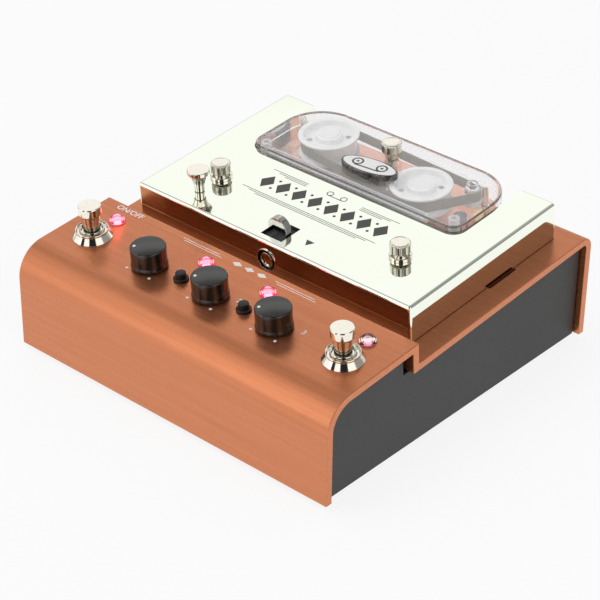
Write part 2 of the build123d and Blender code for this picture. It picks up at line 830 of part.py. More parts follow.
def cassette_base():
    wall = cassette_wall
    base = prism(cassette_outline(0), cassette_bottom, cassette_split)
    base -= prism(cassette_outline(wall), floor_in, cassette_split + 1)
    inside = prism(cassette_outline(wall), cassette_bottom, cassette_under)
    for x, v, r, bore in corner_posts():
        base += cyl(x, v, cassette_bottom + 1, cassette_under, r) & inside
        base -= cyl(x, v, floor_in, cassette_under + 1, bore)
    for at in (reel_left_at, reel_right_at):
        base += cyl(*at, floor_in - 1, reel_hub_top - 3, spindle_r)
    base += cyl(*roller_at, floor_in - 1, tape_low + tape_width, 1.5)
    # The long channel inside the front wall.
    x0 = -cassette_half + 12
    x1 = cassette_half - 25
    v0 = cassette_front_v + 3.5
    rib = block(x0, x1, v0, v0 + 4.2, floor_in - 1, cassette_under - 2.3)
    rib -= block(x0 + 1.2, x1 - 1.2, v0 + 1.2, v0 + 3.0, floor_in, cassette_under)
    base += rib
    base -= block(-19, 12, badge_v - 8, badge_v + 11, cassette_bottom - 1, floor_in + 1)
    base -= cyl(*cassette_screw, cassette_bottom - 1, floor_in + 1, neck_r + 0.4)
    return base - cyl(*capstan_at, cassette_bottom - 1, floor_in + 1, capstan_r + 0.6)


def cassette_cover():
    wall = cassette_wall
    lid = prism(cassette_outline(0), cassette_split, cassette_top)
    lid = fillet(lid.faces().sort_by(Axis.Z)[-1].edges(), 1.2)
    lid -= prism(cassette_outline(wall), cassette_split - 1, cassette_under)
    lid += ring(*roller_at, tape_low + tape_width + 0.5, cassette_under + 0.5, 3.4, 1.9)
    return lid - cyl(*cassette_screw, cassette_under - 1, cassette_top + 1, shank_r + 0.6)


def badge():
    oval = Ellipse(badge_half_length, badge_half_width)
    plate = extrude(oval, badge_thick)
    plate = chamfer(plate.faces().sort_by(Axis.Z)[-1].edges(), 0.5)
    return Pos(0, badge_v, cassette_top) * Rot(0, 0, badge_turn) * plate


def reel(at):
    """Two flanges, a drum, and a hub standing in a ring-shaped recess with four holes."""
    low = reel_low
    rim = reel_rim_top
    bore = spindle_r + 0.1
    side = [(bore, low), (reel_r, low), (reel_r, low + reel_flange),
            (drum_r, low + reel_flange), (drum_r, rim - reel_flange), (reel_r, rim - reel_flange),
            (reel_r, rim), (15, rim), (15, rim - 3.5), (reel_hub_r, rim - 3.5),
            (reel_hub_r, reel_hub_top - 0.4), (6.2, reel_hub_top - 0.4), (6.2, reel_hub_top),
            (0, reel_hub_top), (0, reel_hub_top - 2.2), (bore, reel_hub_top - 2.2)]
    body = turned(side)
    for turn in (45, 135, 225, 315):
        angle = radians(turn)
        body -= cyl(11.5 * cos(angle), 11.5 * sin(angle), low - 1, rim + 1, 1.8)
    return Pos(*at, 0) * body


def guide_roller():
    low = reel_low
    roller = cyl(*roller_at, low, tape_low - 0.4, roller_flange_r)
    roller += cyl(*roller_at, tape_low - 0.4, tape_low + tape_width + 0.2, roller_r)
    return roller - cyl(*roller_at, low - 1, tape_low + tape_width + 1, 1.6)


# ---- Writing the parts ----
save("top_shell", [top_shell()])
save("inner_tray", [inner_tray()])
save("rubber_feet", rubber_feet())
save("base_screws", base_screws())
save("tray_brackets", tray_brackets())

save("control_board", on_deck([control_board()]))
save("pot_bodies", on_deck(pot_bodies()))
save("panel_nuts", panel_nuts())
save("footswitch_bodies", on_deck(footswitch_bodies()))
save("footswitch_dress_nuts", on_deck(footswitch_dress_nuts()))
save("button_bodies", on_deck(button_bodies()))
save("indicator_lenses", on_deck(indicator_lenses()))
save("indicator_leds", on_deck(indicator_leds()))
save("led_spacers", on_deck(led_spacers()))
for place, knob_x in knobs.items():
    save("knob_" + place, on_deck(knob(knob_x)))
for place, sign in (("left", -1), ("right", 1)):
    save("footswitch_plunger_" + place, on_deck([footswitch_plunger(sign)]))
    save("button_" + place, on_deck([button(sign)]))
    seat = lid_height + ferrule_height
    screw = thumbscrew((sign * screw_x, screw_v), seat, 6.0, neck_height)
    save("thumbscrew_" + place, on_deck([screw]))

save("main_board", [main_board()])
save("board_standoffs", board_standoffs())
save("board_components", board_components())
save("riser_board", riser_board())
save("jack_bodies", jack_bodies())
save("power_socket", [power_socket()])

save("lid_posts", on_deck(posts_on_shelf()))
save("cassette_post", on_deck([cassette_post()]))
save("cassette_rests", on_deck(cassette_rests()))
save("head_bridge", on_deck([head_bridge()]))
for name, head_x in (("erase_head", -13.0), ("record_head", -4.0), ("playback_head", 5.0)):
    save(name, on_deck([tape_head(head_x)]))
save("motor_bracket", on_deck([motor_bracket()]))
save("motor", on_deck([motor()]))
save("motor_pulley", on_deck([motor_pulley()]))
save("drive_belt", on_deck([drive_belt()]))
save("capstan_bearing", on_deck([capstan_bearing()]))
save("capstan", on_deck([capstan()]))
flywheel = grooved_wheel(capstan_at, flywheel_top - flywheel_height, flywheel_top, flywheel_r,
                         capstan_r)
save("flywheel", on_deck([flywheel]))

save("deck_lid", on_deck([deck_lid()]))
save("thumbscrew_ferrules", on_deck(thumbscrew_ferrules()))
save("catch_barrel", on_deck(catch_barrel()))
save("release_knob", on_deck([release_knob()]))
save("release_bushing", on_deck([release_bushing()]))
save("lock_slider", on_deck([lock_slider()]))
save("lock_guides", on_deck(lock_guides()))

save("cassette_base", on_deck([cassette_base()]))
save("cassette_cover", on_deck([cassette_cover()]))
save("badge", on_deck([badge()]))
save("tape_loop", on_deck([tape_loop()]))
save("reel_left", on_deck([reel(reel_left_at)]))
save("reel_right", on_deck([reel(reel_right_at)]))
save("guide_roller", on_deck([guide_roller()]))
centre_screw = thumbscrew(cassette_screw, cassette_top, 6.0, cassette_neck_height)
save("thumbscrew_centre", on_deck([centre_screw]))
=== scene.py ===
from cmath import phase, rect
from math import cos, pi, radians, sin, tan

import bmesh
import bpy
from mathutils import Matrix, Vector


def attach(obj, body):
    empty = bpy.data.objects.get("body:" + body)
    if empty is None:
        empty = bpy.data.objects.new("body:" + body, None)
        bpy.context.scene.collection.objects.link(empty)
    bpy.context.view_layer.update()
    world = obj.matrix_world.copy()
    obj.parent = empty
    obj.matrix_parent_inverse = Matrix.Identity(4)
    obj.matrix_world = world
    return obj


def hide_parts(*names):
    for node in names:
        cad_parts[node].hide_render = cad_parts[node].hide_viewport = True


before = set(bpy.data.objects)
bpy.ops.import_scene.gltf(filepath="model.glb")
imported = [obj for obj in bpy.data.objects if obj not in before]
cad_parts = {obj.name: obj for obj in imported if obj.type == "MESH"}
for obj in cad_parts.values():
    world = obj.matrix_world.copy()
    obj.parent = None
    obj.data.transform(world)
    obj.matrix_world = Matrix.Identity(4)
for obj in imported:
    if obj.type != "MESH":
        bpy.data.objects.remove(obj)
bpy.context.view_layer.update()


def placed(name, data):
    """A new object in the scene, made from its mesh, lettering, lamp or camera."""
    made = bpy.data.objects.new(name, data)
    bpy.context.scene.collection.objects.link(made)
    return made


# ---- Camera ----
# A long lens from the front right and above, level but for a slight roll.
azimuth, height, roll = 0.72242, 0.55493, 0.01156
back = Vector((sin(azimuth) * cos(height), -cos(azimuth) * cos(height), sin(height)))
across = Vector((0, 0, 1)).cross(back).normalized()
upright = back.cross(across)
right = cos(roll) * across + sin(roll) * upright
camera = placed("camera", bpy.data.cameras.new("camera"))
camera.data.lens = 126.5
camera.data.sensor_width = 36.0
camera.matrix_world = (Matrix.Translation((0.67276, -0.76934, 0.66099))
                       @ Matrix((right, back.cross(right), back)).transposed().to_4x4())
bpy.context.scene.camera = camera

# ---- Base tray ----
# The tray is one folded steel sheet, floor and two side panels, with a fine dark powder coat.
# It slides up into the shell and is screwed to it from below.


def finish(name, colour, metallic, roughness, **others):
    """A new finish: its material and its shader, with the plain values set on it."""
    made = bpy.data.materials.new(name)
    made.use_nodes = True
    shader = made.node_tree.nodes["Principled BSDF"]
    shader.inputs["Base Color"].default_value = (*colour, 1)
    shader.inputs["Metallic"].default_value = metallic
    shader.inputs["Roughness"].default_value = roughness
    for socket, value in others.items():
        shader.inputs[socket.replace("_", " ")].default_value = value
    return made, shader


def speckle(made, cells, detail=3.0, low=0.32, high=0.68):
    """A 0 to 1 noise with this many cells to the metre along the piece's x, y and z."""
    nodes, links = made.node_tree.nodes, made.node_tree.links
    place = nodes.new("ShaderNodeTexCoord")
    stretch = nodes.new("ShaderNodeMapping")
    stretch.inputs["Scale"].default_value = cells
    noise = nodes.new("ShaderNodeTexNoise")
    noise.inputs["Scale"].default_value = 1.0
    noise.inputs["Detail"].default_value = detail
    spread = nodes.new("ShaderNodeMapRange")
    spread.inputs["From Min"].default_value = low
    spread.inputs["From Max"].default_value = high
    links.new(place.outputs["Object"], stretch.inputs["Vector"])
    links.new(stretch.outputs["Vector"], noise.inputs["Vector"])
    links.new(noise.outputs["Fac"], spread.inputs["Value"])
    return spread.outputs["Result"]


def shade(made, signal, first, second):
    """Colour that goes from the first to the second as the signal goes from 0 to 1."""
    mix = made.node_tree.nodes.new("ShaderNodeMix")
    mix.data_type = "RGBA"
    mix.inputs[6].default_value = (*first, 1)
    mix.inputs[7].default_value = (*second, 1)
    made.node_tree.links.new(signal, mix.inputs[0])
    shader = made.node_tree.nodes["Principled BSDF"]
    made.node_tree.links.new(mix.outputs[2], shader.inputs["Base Color"])
    return mix.outputs[2]


def wander(made, signal, low, high, socket="Roughness"):
    """A shader value that goes from low to high with the signal."""
    spread = made.node_tree.nodes.new("ShaderNodeMapRange")
    spread.inputs["To Min"].default_value = low
    spread.inputs["To Max"].default_value = high
    made.node_tree.links.new(signal, spread.inputs["Value"])
    shader = made.node_tree.nodes["Principled BSDF"]
    made.node_tree.links.new(spread.outputs["Result"], shader.inputs[socket])


def relief(made, signal, depth):
    """A fine surface relief of this depth in metres."""
    bump = made.node_tree.nodes.new("ShaderNodeBump")
    bump.inputs["Distance"].default_value = depth
    made.node_tree.links.new(signal, bump.inputs["Height"])
    shader = made.node_tree.nodes["Principled BSDF"]
    made.node_tree.links.new(bump.outputs["Normal"], shader.inputs["Normal"])


def finish_node(made, *names):
    """Gives CAD nodes that stay as they are their finish."""
    for name in names:
        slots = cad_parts[name].data.materials
        slots.clear()
        slots.append(made)


dark_paint, _ = finish("dark_paint", (0.075, 0.075, 0.075), 0.0, 0.5)
paint_grain = speckle(dark_paint, (1500, 1500, 1500), 2.0)
shade(dark_paint, speckle(dark_paint, (14, 14, 14)), (0.026, 0.027, 0.025), (0.036, 0.036, 0.037))
wander(dark_paint, paint_grain, 0.44, 0.56)
relief(dark_paint, paint_grain, 0.00002)
finish_node(dark_paint, "inner_tray")

# ---- Shell ----
# The shell is one thick aluminium sheet bent over the tray: front, control panel, step down, shelf
# and rear. It is brushed along its length and anodised copper, and its cut ends are eased.
deck_y, deck_z, deck_slope = -41.95, 56.1, radians(4.63)
deck_tilt = Matrix.Rotation(deck_slope, 4, "X")
deck = Matrix.Translation((0, deck_y / 1000, deck_z / 1000)) @ deck_tilt
deck_mm = Matrix.Translation((0, deck_y, deck_z)) @ deck_tilt
step_height = 13.0
shell_sheet = 4.5
front_y, rear_y, bottom_z = -114.45, 112.05, 3.0
shell_end = 115.0
knobs_at, knob_v = (("left", -46.3), ("middle", 0.0), ("right", 46.3)), -35.7
switch_x, switch_v = 93.0, -34.4
button_x, button_v = 23.3, -34.5
inner_light_x, light_v = 23.0, -15.1
jacks_x, jack_z = (-86, -58, 20, 52), 20.1
power_x, power_z = 86, 18.1
capstan_at = (59.52, 128.04)


def eased(corners, steps=6, closed=True):
    """An outline from corners (a, b, radius), with a round of that radius at each."""
    outline = []
    for i, (a, b, radius) in enumerate(corners):
        here = complex(a, b)
        if radius <= 0 or (not closed and i in (0, len(corners) - 1)):
            outline.append((a, b))
            continue
        before = complex(*corners[i - 1][:2]) - here
        after = complex(*corners[(i + 1) % len(corners)][:2]) - here
        before /= abs(before)
        after /= abs(after)
        half = abs(phase(after / before)) / 2
        middle = (before + after) / abs(before + after)
        centre = here + middle * radius / sin(half)
        start = here + before * radius / tan(half) - centre
        turn = phase((here + after * radius / tan(half) - centre) / start)
        for k in range(steps + 1):
            point = centre + start * rect(1, turn * k / steps)
            outline.append((point.real, point.imag))
    return outline


def as_piece(name, shape):
    """A new object from a finished mesh shape."""
    bmesh.ops.remove_doubles(shape, verts=shape.verts, dist=1e-5)
    bmesh.ops.recalc_face_normals(shape, faces=shape.faces)
    mesh = bpy.data.meshes.new(name)
    shape.to_mesh(mesh)
    shape.free()
    return placed(name, mesh)


def slab(name, outline, low, high, ease=0.0, steps=2, ease_foot=True):
    """A piece cut to an outline between two heights, with its top and bottom edges eased."""
    shape = bmesh.new()
    foot = [shape.verts.new((a, b, low)) for a, b in outline]
    top = [shape.verts.new((a, b, high)) for a, b in outline]
    shape.faces.new(foot[::-1])
    shape.faces.new(top)
    for i in range(len(outline)):
        j = (i + 1) % len(outline)
        shape.faces.new((foot[i], foot[j], top[j], top[i]))
    bmesh.ops.remove_doubles(shape, verts=shape.verts, dist=1e-4)
    if ease:
        rim = [e for e in shape.edges if e.verts[0].co.z == e.verts[1].co.z
               and (ease_foot or e.verts[0].co.z > low)]
        bmesh.ops.bevel(shape, geom=rim, offset=ease, segments=steps, profile=0.5,
                        affect="EDGES", clamp_overlap=True)
    return as_piece(name, shape)


def layered(name, outline_at, levels):
    """A piece built up from one outline, moved in by an inset at each (inset, height)."""
    shape = bmesh.new()
    rows = [[shape.verts.new((a, b, level)) for a, b in outline_at(inset)]
            for inset, level in levels]
    shape.faces.new(rows[0][::-1])
    shape.faces.new(rows[-1])
    for lower, upper in zip(rows, rows[1:]):
        for i in range(len(lower)):
            shape.faces.new((lower[i - 1], lower[i], upper[i], upper[i - 1]))
    return as_piece(name, shape)


def rounded_top(top, radius, steps=6):
    """The (inset, height) levels of a rounded upper edge."""
    return [(radius * (1 - cos(pi / 2 * k / steps)), top - radius * (1 - sin(pi / 2 * k / steps)))
            for k in range(steps + 1)]


def turned(name, profile, around=72, teeth=None):
    """A piece turned about its axis from (radius, height) points, starting and ending on the
    axis, or a closed ring. teeth = (count, depth, low, high) cuts a straight knurl."""
    if teeth:
        around = teeth[0] * 6
    shape = bmesh.new()
    rows = []
    for radius, level in profile:
        if radius <= 0:
            rows.append([shape.verts.new((0, 0, level))] * around)
            continue
        row = []
        for k in range(around):
            angle = 2 * pi * k / around
            deep = teeth[1] if teeth and teeth[2] <= level <= teeth[3] else 0.0
            r = radius - deep * (0, 0.12, 0.75, 1, 0.75, 0.12)[k % 6]
            row.append(shape.verts.new((r * cos(angle), r * sin(angle), level)))
        rows.append(row)
    if profile[0][0] > 0:
        rows.append(rows[0])
    for lower, upper in zip(rows, rows[1:]):
        for k in range(around):
            ring = [lower[k - 1], lower[k], upper[k], upper[k - 1]]
            corners = list(dict.fromkeys(ring))
            if len(corners) > 2:
                shape.faces.new(corners)
    return as_piece(name, shape)


def moved(piece, x=0.0, v=0.0, n=0.0, turn=0.0, by=None):
    """Turns a piece's mesh about its axis and moves it, or moves it by a whole matrix."""
    turning = Matrix.Rotation(radians(turn), 4, "Z")
    piece.data.transform(by or Matrix.Translation((x, v, n)) @ turning)
    return piece


def joined(name, pieces):
    """One piece out of several that lie apart. Each part's faces keep their finish number."""
    shape = bmesh.new()
    for piece in pieces:
        shape.from_mesh(piece.data)
        bpy.data.objects.remove(piece)
    mesh = bpy.data.meshes.new(name)
    shape.to_mesh(mesh)
    shape.free()
    return placed(name, mesh)


def cut(piece, tools, how="DIFFERENCE"):
    """Cuts the tools out of a piece, or with UNION joins them to it."""
    tool = joined("tool", tools)
    step = piece.modifiers.new("cut", "BOOLEAN")
    step.operation = how
    step.solver = "EXACT"
    step.object = tool
    bpy.context.view_layer.update()
    whole = piece.evaluated_get(bpy.context.evaluated_depsgraph_get())
    mesh = bpy.data.meshes.new_from_object(whole)
    piece.modifiers.clear()
    piece.data = mesh
    bpy.data.objects.remove(tool)
    return piece


def numbered(piece, number):
    """Marks all of a part's faces for one of its piece's finishes."""
    for face in piece.data.polygons:
        face.material_index = number
    return piece


def seat(piece, finishes, at=(0, 0, 0), on=deck, sharp=32):
    """Brings a piece from millimetres to its place, with its finishes and its shading."""
    piece.data.transform(Matrix.Scale(0.001, 4))
    piece.matrix_world = on @ Matrix.Translation([c * 0.001 for c in at])
    for made in finishes if isinstance(finishes, (list, tuple)) else [finishes]:
        piece.data.materials.append(made)
    for face in piece.data.polygons:
        face.use_smooth = True
    piece.data.set_sharp_from_angle(angle=radians(sharp))
    normals = piece.modifiers.new("normals", "WEIGHTED_NORMAL")
    normals.keep_sharp = True
    return piece


def drill(x, v, low, high, radius, flare=0.25):
    """A drill for a hole through the deck, which leaves a small chamfer at the top."""
    tool = turned("drill", [(0, low), (radius, low), (radius, high - flare),
                            (radius + 2 * flare, high + flare), (0, high + flare)], 48)
    return moved(tool, x, v)


def deck_point(v, n):
    """The y and z of a place v up the deck's slope and n above it."""
    place = deck_mm @ Vector((0, v, n))
    return place.y, place.z


def height_at(y, n):
    """The z of a surface n above the deck, where it passes a given y."""
    v = (y - deck_y + n * sin(deck_slope)) / cos(deck_slope)
    return deck_point(v, n)[1]


t = shell_sheet
sheet_outline = eased([
    (front_y, bottom_z, 0.5),
    (front_y, height_at(front_y, step_height), 19.0),
    (*deck_point(0, step_height), 0.7),
    (*deck_point(0, 0), 0.5),
    (rear_y, height_at(rear_y, 0), 7.5),
    (rear_y, bottom_z, 0.5),
    (rear_y - t, bottom_z, 0.5),
    (rear_y - t, height_at(rear_y - t, -t), 3.0),
    (*deck_point(-t, -t), 0.7),
    (*deck_point(-t, step_height - t), 0.5),
    (front_y + t, height_at(front_y + t, step_height - t), 14.5),
    (front_y + t, bottom_z, 0.5),
], 12)
shell = slab("copper_shell", sheet_outline, -shell_end, shell_end, 0.5, 3)
moved(shell, by=Matrix(((0, 0, 1, 0), (1, 0, 0, 0), (0, 1, 0, 0), (0, 0, 0, 1))))
drills = [drill(x, knob_v, 5, step_height, 3.7) for _, x in knobs_at]
for side in (-1, 1):
    drills += [
        drill(side * switch_x, switch_v, 5, step_height, 6.2),
        drill(side * button_x, button_v, 5, step_height, 3.7),
        drill(side * switch_x, light_v, 5, step_height, 4.1, 0.1),
        drill(side * inner_light_x, light_v, 5, step_height, 4.1, 0.1),
    ]
    slot = eased([(side * 101.0, 76, 0.7), (side * 102.6, 76, 0.7),
                  (side * 102.6, 100, 0.7), (side * 101.0, 100, 0.7)], 4)
    drills.append(slab("slot_tool", slot, -8, 4))
drills.append(drill(*capstan_at, -8, 0, 5.2))
for tool in drills:
    moved(tool, by=deck_mm)
on_end = Matrix.Rotation(radians(90), 4, "X")
for x in jacks_x:
    tool = turned("drill", [(0, -3), (4.95, -3), (4.95, 6), (0, 6)], 48)
    drills.append(moved(tool, by=Matrix.Translation((x, rear_y - 3, jack_z)) @ on_end))
square = eased([(-6.2, -6.2, 0.5), (6.2, -6.2, 0.5), (6.2, 6.2, 0.5), (-6.2, 6.2, 0.5)], 3)
tool = slab("slot_tool", square, -7, 7)
drills.append(moved(tool, by=Matrix.Translation((power_x, rear_y - 3, power_z)) @ on_end))
cut(shell, drills)

copper, copper_shader = finish("brushed_copper", (0.66, 0.235, 0.11), 0.86, 0.3,
                               Anisotropic=0.6, Coat_Weight=0.12, Coat_Roughness=0.3)
brushing = speckle(copper, (24, 2600, 2600), 3.0)
broad_brushing = speckle(copper, (9, 420, 420), 3.0, 0.25, 0.75)
shade(copper, broad_brushing, (0.62, 0.212, 0.094), (0.70, 0.252, 0.116))
wander(copper, brushing, 0.26, 0.35)
relief(copper, brushing, 0.000012)
grain_line = copper.node_tree.nodes.new("ShaderNodeTangent")
grain_line.direction_type = "RADIAL"
grain_line.axis = "X"
copper.node_tree.links.new(grain_line.outputs["Tangent"], copper_shader.inputs["Tangent"])
seat(shell, copper, on=Matrix.Identity(4))
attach(shell, "case")
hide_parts("top_shell")

# ---- Feet and base screws ----
# Four moulded rubber feet, each with a sunk screw seat, and black screws that hold the tray to
# brackets inside the shell.
rubber, _ = finish("black_rubber", (0.02, 0.02, 0.02), 0.0, 0.75)
rubber_grain = speckle(rubber, (900, 900, 900))
shade(rubber, rubber_grain, (0.015, 0.015, 0.015), (0.032, 0.032, 0.033))
relief(rubber, rubber_grain, 0.00003)
foot_profile = eased([(0, 1.2, 0), (3.2, 1.2, 0.2), (3.4, 0.0, 0.3), (6.2, 0.0, 0.8),
                      (7.0, 3.0, 0.1), (0, 3.0, 0)], 5, closed=False)
feet = joined("feet", [moved(turned("foot", foot_profile, 48), x, y)
                       for x in (-95, 95) for y in (-94.45, 92.05)])
seat(feet, rubber, on=Matrix.Identity(4))
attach(feet, "case")
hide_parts("rubber_feet")

black_steel, _ = finish("blackened_steel", (0.05, 0.05, 0.05), 1.0, 0.4)
shade(black_steel, speckle(black_steel, (400, 400, 400)), (0.04, 0.04, 0.04), (0.09, 0.09, 0.09))
finish_node(black_steel, "base_screws")

# ---- Brackets and boards inside ----
# Bent steel brackets, green fibreglass boards on brass standoffs, and their moulded parts.
# They are soldered up before the shell goes on.
steel, _ = finish("plain_steel", (0.55, 0.55, 0.56), 1.0, 0.32)
steel_grain = speckle(steel, (90, 1400, 1400))
shade(steel, steel_grain, (0.48, 0.48, 0.49), (0.62, 0.62, 0.63))
wander(steel, steel_grain, 0.26, 0.4)
board_green, _ = finish("board_green", (0.02, 0.16, 0.06), 0.0, 0.35)
shade(board_green, speckle(board_green, (260, 260, 260), 4.0), (0.012, 0.11, 0.04),
      (0.03, 0.2, 0.085))
brass, _ = finish("turned_brass", (0.75, 0.52, 0.2), 1.0, 0.28)
shade(brass, speckle(brass, (1500, 1500, 120)), (0.68, 0.46, 0.17), (0.8, 0.58, 0.25))
black_plastic, _ = finish("satin_black", (0.012, 0.012, 0.012), 0.0, 0.42)
black_grain = speckle(black_plastic, (1600, 1600, 1600), 2.0)
shade(black_plastic, black_grain, (0.009, 0.009, 0.009), (0.017, 0.017, 0.018))
wander(black_plastic, black_grain, 0.36, 0.48)
relief(black_plastic, black_grain, 0.00001)
finish_node(steel, "tray_brackets", "pot_bodies")
finish_node(board_green, "main_board", "control_board", "riser_board")
finish_node(brass, "board_standoffs")
finish_node(black_plastic, "board_components", "led_spacers", "jack_bodies", "power_socket")

nickel, _ = finish("polished_nickel", (0.92, 0.87, 0.76), 1.0, 0.04)
nickel_grain = speckle(nickel, (700, 700, 700))
shade(nickel, nickel_grain, (0.90, 0.85, 0.73), (0.94, 0.90, 0.80))
wander(nickel, nickel_grain, 0.025, 0.06)
finish_node(nickel, "panel_nuts")

# ---- Printing on the control panel ----
# White screen print: end marks at each knob's scale, double rules, numbers for the knobs, three
# lozenges in the middle and the switch's two states.
ink_thick = 0.05


def stroke(start, end, width):
    """A printed line as a thin slab from one point to another."""
    a, b = complex(*start), complex(*end)
    side = (b - a) / abs(b - a) * 1j * width / 2
    ends = [a - side, b - side, b + side, a + side]
    return slab("stroke", [(p.real, p.imag) for p in ends], 0, ink_thick)


def printed_ring(x, v, radius, width):
    outer = radius + width / 2
    inner = radius - width / 2
    return moved(turned("ring", [(inner, 0), (outer, 0), (outer, ink_thick), (inner, ink_thick)],
                        40), x, v)


def printed_disc(x, v, radius):
    return moved(turned("disc", [(0, 0), (radius, 0), (radius, ink_thick), (0, ink_thick)], 24),
                 x, v)


def printed_letters(text, size, x, v):
    """Plain letters or figures, centred on a point."""
    face = bpy.data.curves.new("letters", "FONT")
    face.body = text
    face.size = size
    face.extrude = ink_thick / 2
    face.offset = 0.1
    face.align_x = "CENTER"
    face.align_y = "CENTER"
    holder = placed("letters", face)
    bpy.context.view_layer.update()
    mesh = bpy.data.meshes.new_from_object(
        holder.evaluated_get(bpy.context.evaluated_depsgraph_get()))
    bpy.data.objects.remove(holder)
    return moved(placed("letters", mesh), x, v, ink_thick / 2)


def lozenge(x, v, half_length, half_width):
    return slab("lozenge", [(x - half_length, v), (x, v - half_width),
                            (x + half_length, v), (x, v + half_width)], 0, ink_thick)


marks = []
for _, x in knobs_at:
    for side in (-1, 1):
        marks.append(printed_disc(x + side * 8.65, knob_v - 9.2, 0.9))
for x0, x1 in ((-50.7, -20.5), (18.7, 48.6)):
    marks.append(stroke((x0, -4.2), (x1 - 2, -4.2), 0.45))
    marks.append(stroke((x0 + 2, -5.8), (x1, -5.8), 0.45))
for x in (-9, 0, 9):
    marks.append(lozenge(x, -5.0, 3.6, 2.0))
for number, (_, x) in zip("123", knobs_at):
    marks.append(printed_letters(number, 5.2, x + 15.6, -30.0))
marks.append(printed_letters("ON/OFF", 5.5, -93.6, -4.2))
panel_print = moved(joined("panel_print", marks), 0, 0, step_height + 0.01)
white_ink, _ = finish("white_ink", (0.85, 0.84, 0.80), 0.0, 0.55)
ink_grain = speckle(white_ink, (2400, 2400, 2400))
shade(white_ink, ink_grain, (0.78, 0.75, 0.71), (0.9, 0.89, 0.87))
seat(panel_print, white_ink)
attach(panel_print, "case")

# ---- Knobs ----
# Three moulded black knobs with a slightly flared skirt and a white pointer plug, pushed on to
# the shafts of the controls.
knob_profile = eased([
    (0, 3, 0), (2.99, 3, 0.1), (2.99, 16.8, 0), (7.2, 16.8, 0.2), (7.2, 14.2, 0.1),
    (10.45, 14.2, 0.25), (10.45, 15.0, 0.5), (10.1, 16.6, 3.0), (10.05, 22.0, 8.0),
    (10.15, 26.15, 0.9), (8.0, 26.5, 0), (6.0, 26.72, 0), (4.0, 26.88, 0), (2.0, 26.97, 0),
    (0, 27.0, 0)], 6, closed=False)
knob_black, _ = finish("knob_black", (0.008, 0.007, 0.005), 0.0, 0.18, Specular_IOR_Level=0.85)
knob_grain = speckle(knob_black, (1600, 1600, 1600), 2.0)
shade(knob_black, knob_grain, (0.006, 0.005, 0.004), (0.012, 0.010, 0.007))
wander(knob_black, knob_grain, 0.14, 0.2)
white_plastic, _ = finish("white_plastic", (0.86, 0.86, 0.85), 0.0, 0.32)
shade(white_plastic, speckle(white_plastic, (160, 160, 160)), (0.84, 0.84, 0.83),
      (0.9, 0.9, 0.895))
pointer_out, pointer_angle = 7.4, radians(225)
for place, x in knobs_at:
    knob = turned("knob_cap_" + place, knob_profile, 96)
    px, pv = pointer_out * cos(pointer_angle), pointer_out * sin(pointer_angle)
    well = moved(turned("tool", [(0, 26.2), (0.93, 26.2), (0.93, 29), (0, 29)], 24), px, pv)
    cut(knob, [well])
    plug = turned("plug", eased([(0, 26.2, 0), (0.86, 26.2, 0), (0.86, 26.8, 0.15), (0, 26.8, 0)],
                                3, closed=False), 24)
    knob = joined("knob_cap_" + place, [knob, numbered(moved(plug, px, pv), 1)])
    seat(knob, [knob_black, white_plastic], (x, knob_v, 0), sharp=50)
    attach(knob, "knob_" + place)
    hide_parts("knob_" + place)

# ---- Footswitches ----
# A blue moulded switch body under the panel, a threaded bush, a cone-shaped dress nut with a
# raised ring, and a nickel plunger with a mushroom cap that clicks down 3 mm.
blue_plastic, _ = finish("blue_plastic", (0.03, 0.1, 0.35), 0.0, 0.4)
shade(blue_plastic, speckle(blue_plastic, (300, 300, 300)), (0.025, 0.085, 0.3),
      (0.04, 0.12, 0.4))
thread_pitch = 0.75
bush = [(4.95, 7.5), (6.0, 7.5)]
for k in range(12):
    bush += [(6.0, 8.0 + thread_pitch * k), (5.7, 8.0 + thread_pitch * (k + 0.5))]
bush += [(5.95, 16.8), (5.75, 17.0), (4.95, 17.0)]
nut_profile = eased([
    (6.03, 13.0, 0), (11.65, 13.0, 0.15), (11.65, 13.4, 0.25), (9.3, 16.7, 0.15),
    (9.3, 16.9, 0.1), (9.5, 17.0, 0.1), (9.5, 17.7, 0.2), (9.3, 18.0, 0.12),
    (8.95, 17.9, 0.12), (8.7, 16.6, 0.15), (8.3, 16.2, 0.15), (7.3, 16.2, 0.15),
    (7.0, 16.6, 0.15), (6.9, 18.2, 0.15), (6.65, 18.5, 0.1), (6.35, 18.4, 0.1),
    (6.1, 17.2, 0.1), (6.03, 17.0, 0)], 4)
plunger_profile = eased([
    (0, 2.4, 0), (4.85, 2.4, 0.2), (4.85, 23.6, 0.1), (5.3, 24.0, 0.2), (5.4, 26.9, 0.4),
    (6.5, 27.9, 0.5), (6.6, 28.5, 0.3), (6.6, 32.8, 0.3), (6.2, 33.35, 0.25), (0, 33.4, 0)],
    5, closed=False)
bodies_parts, nut_parts = [], []
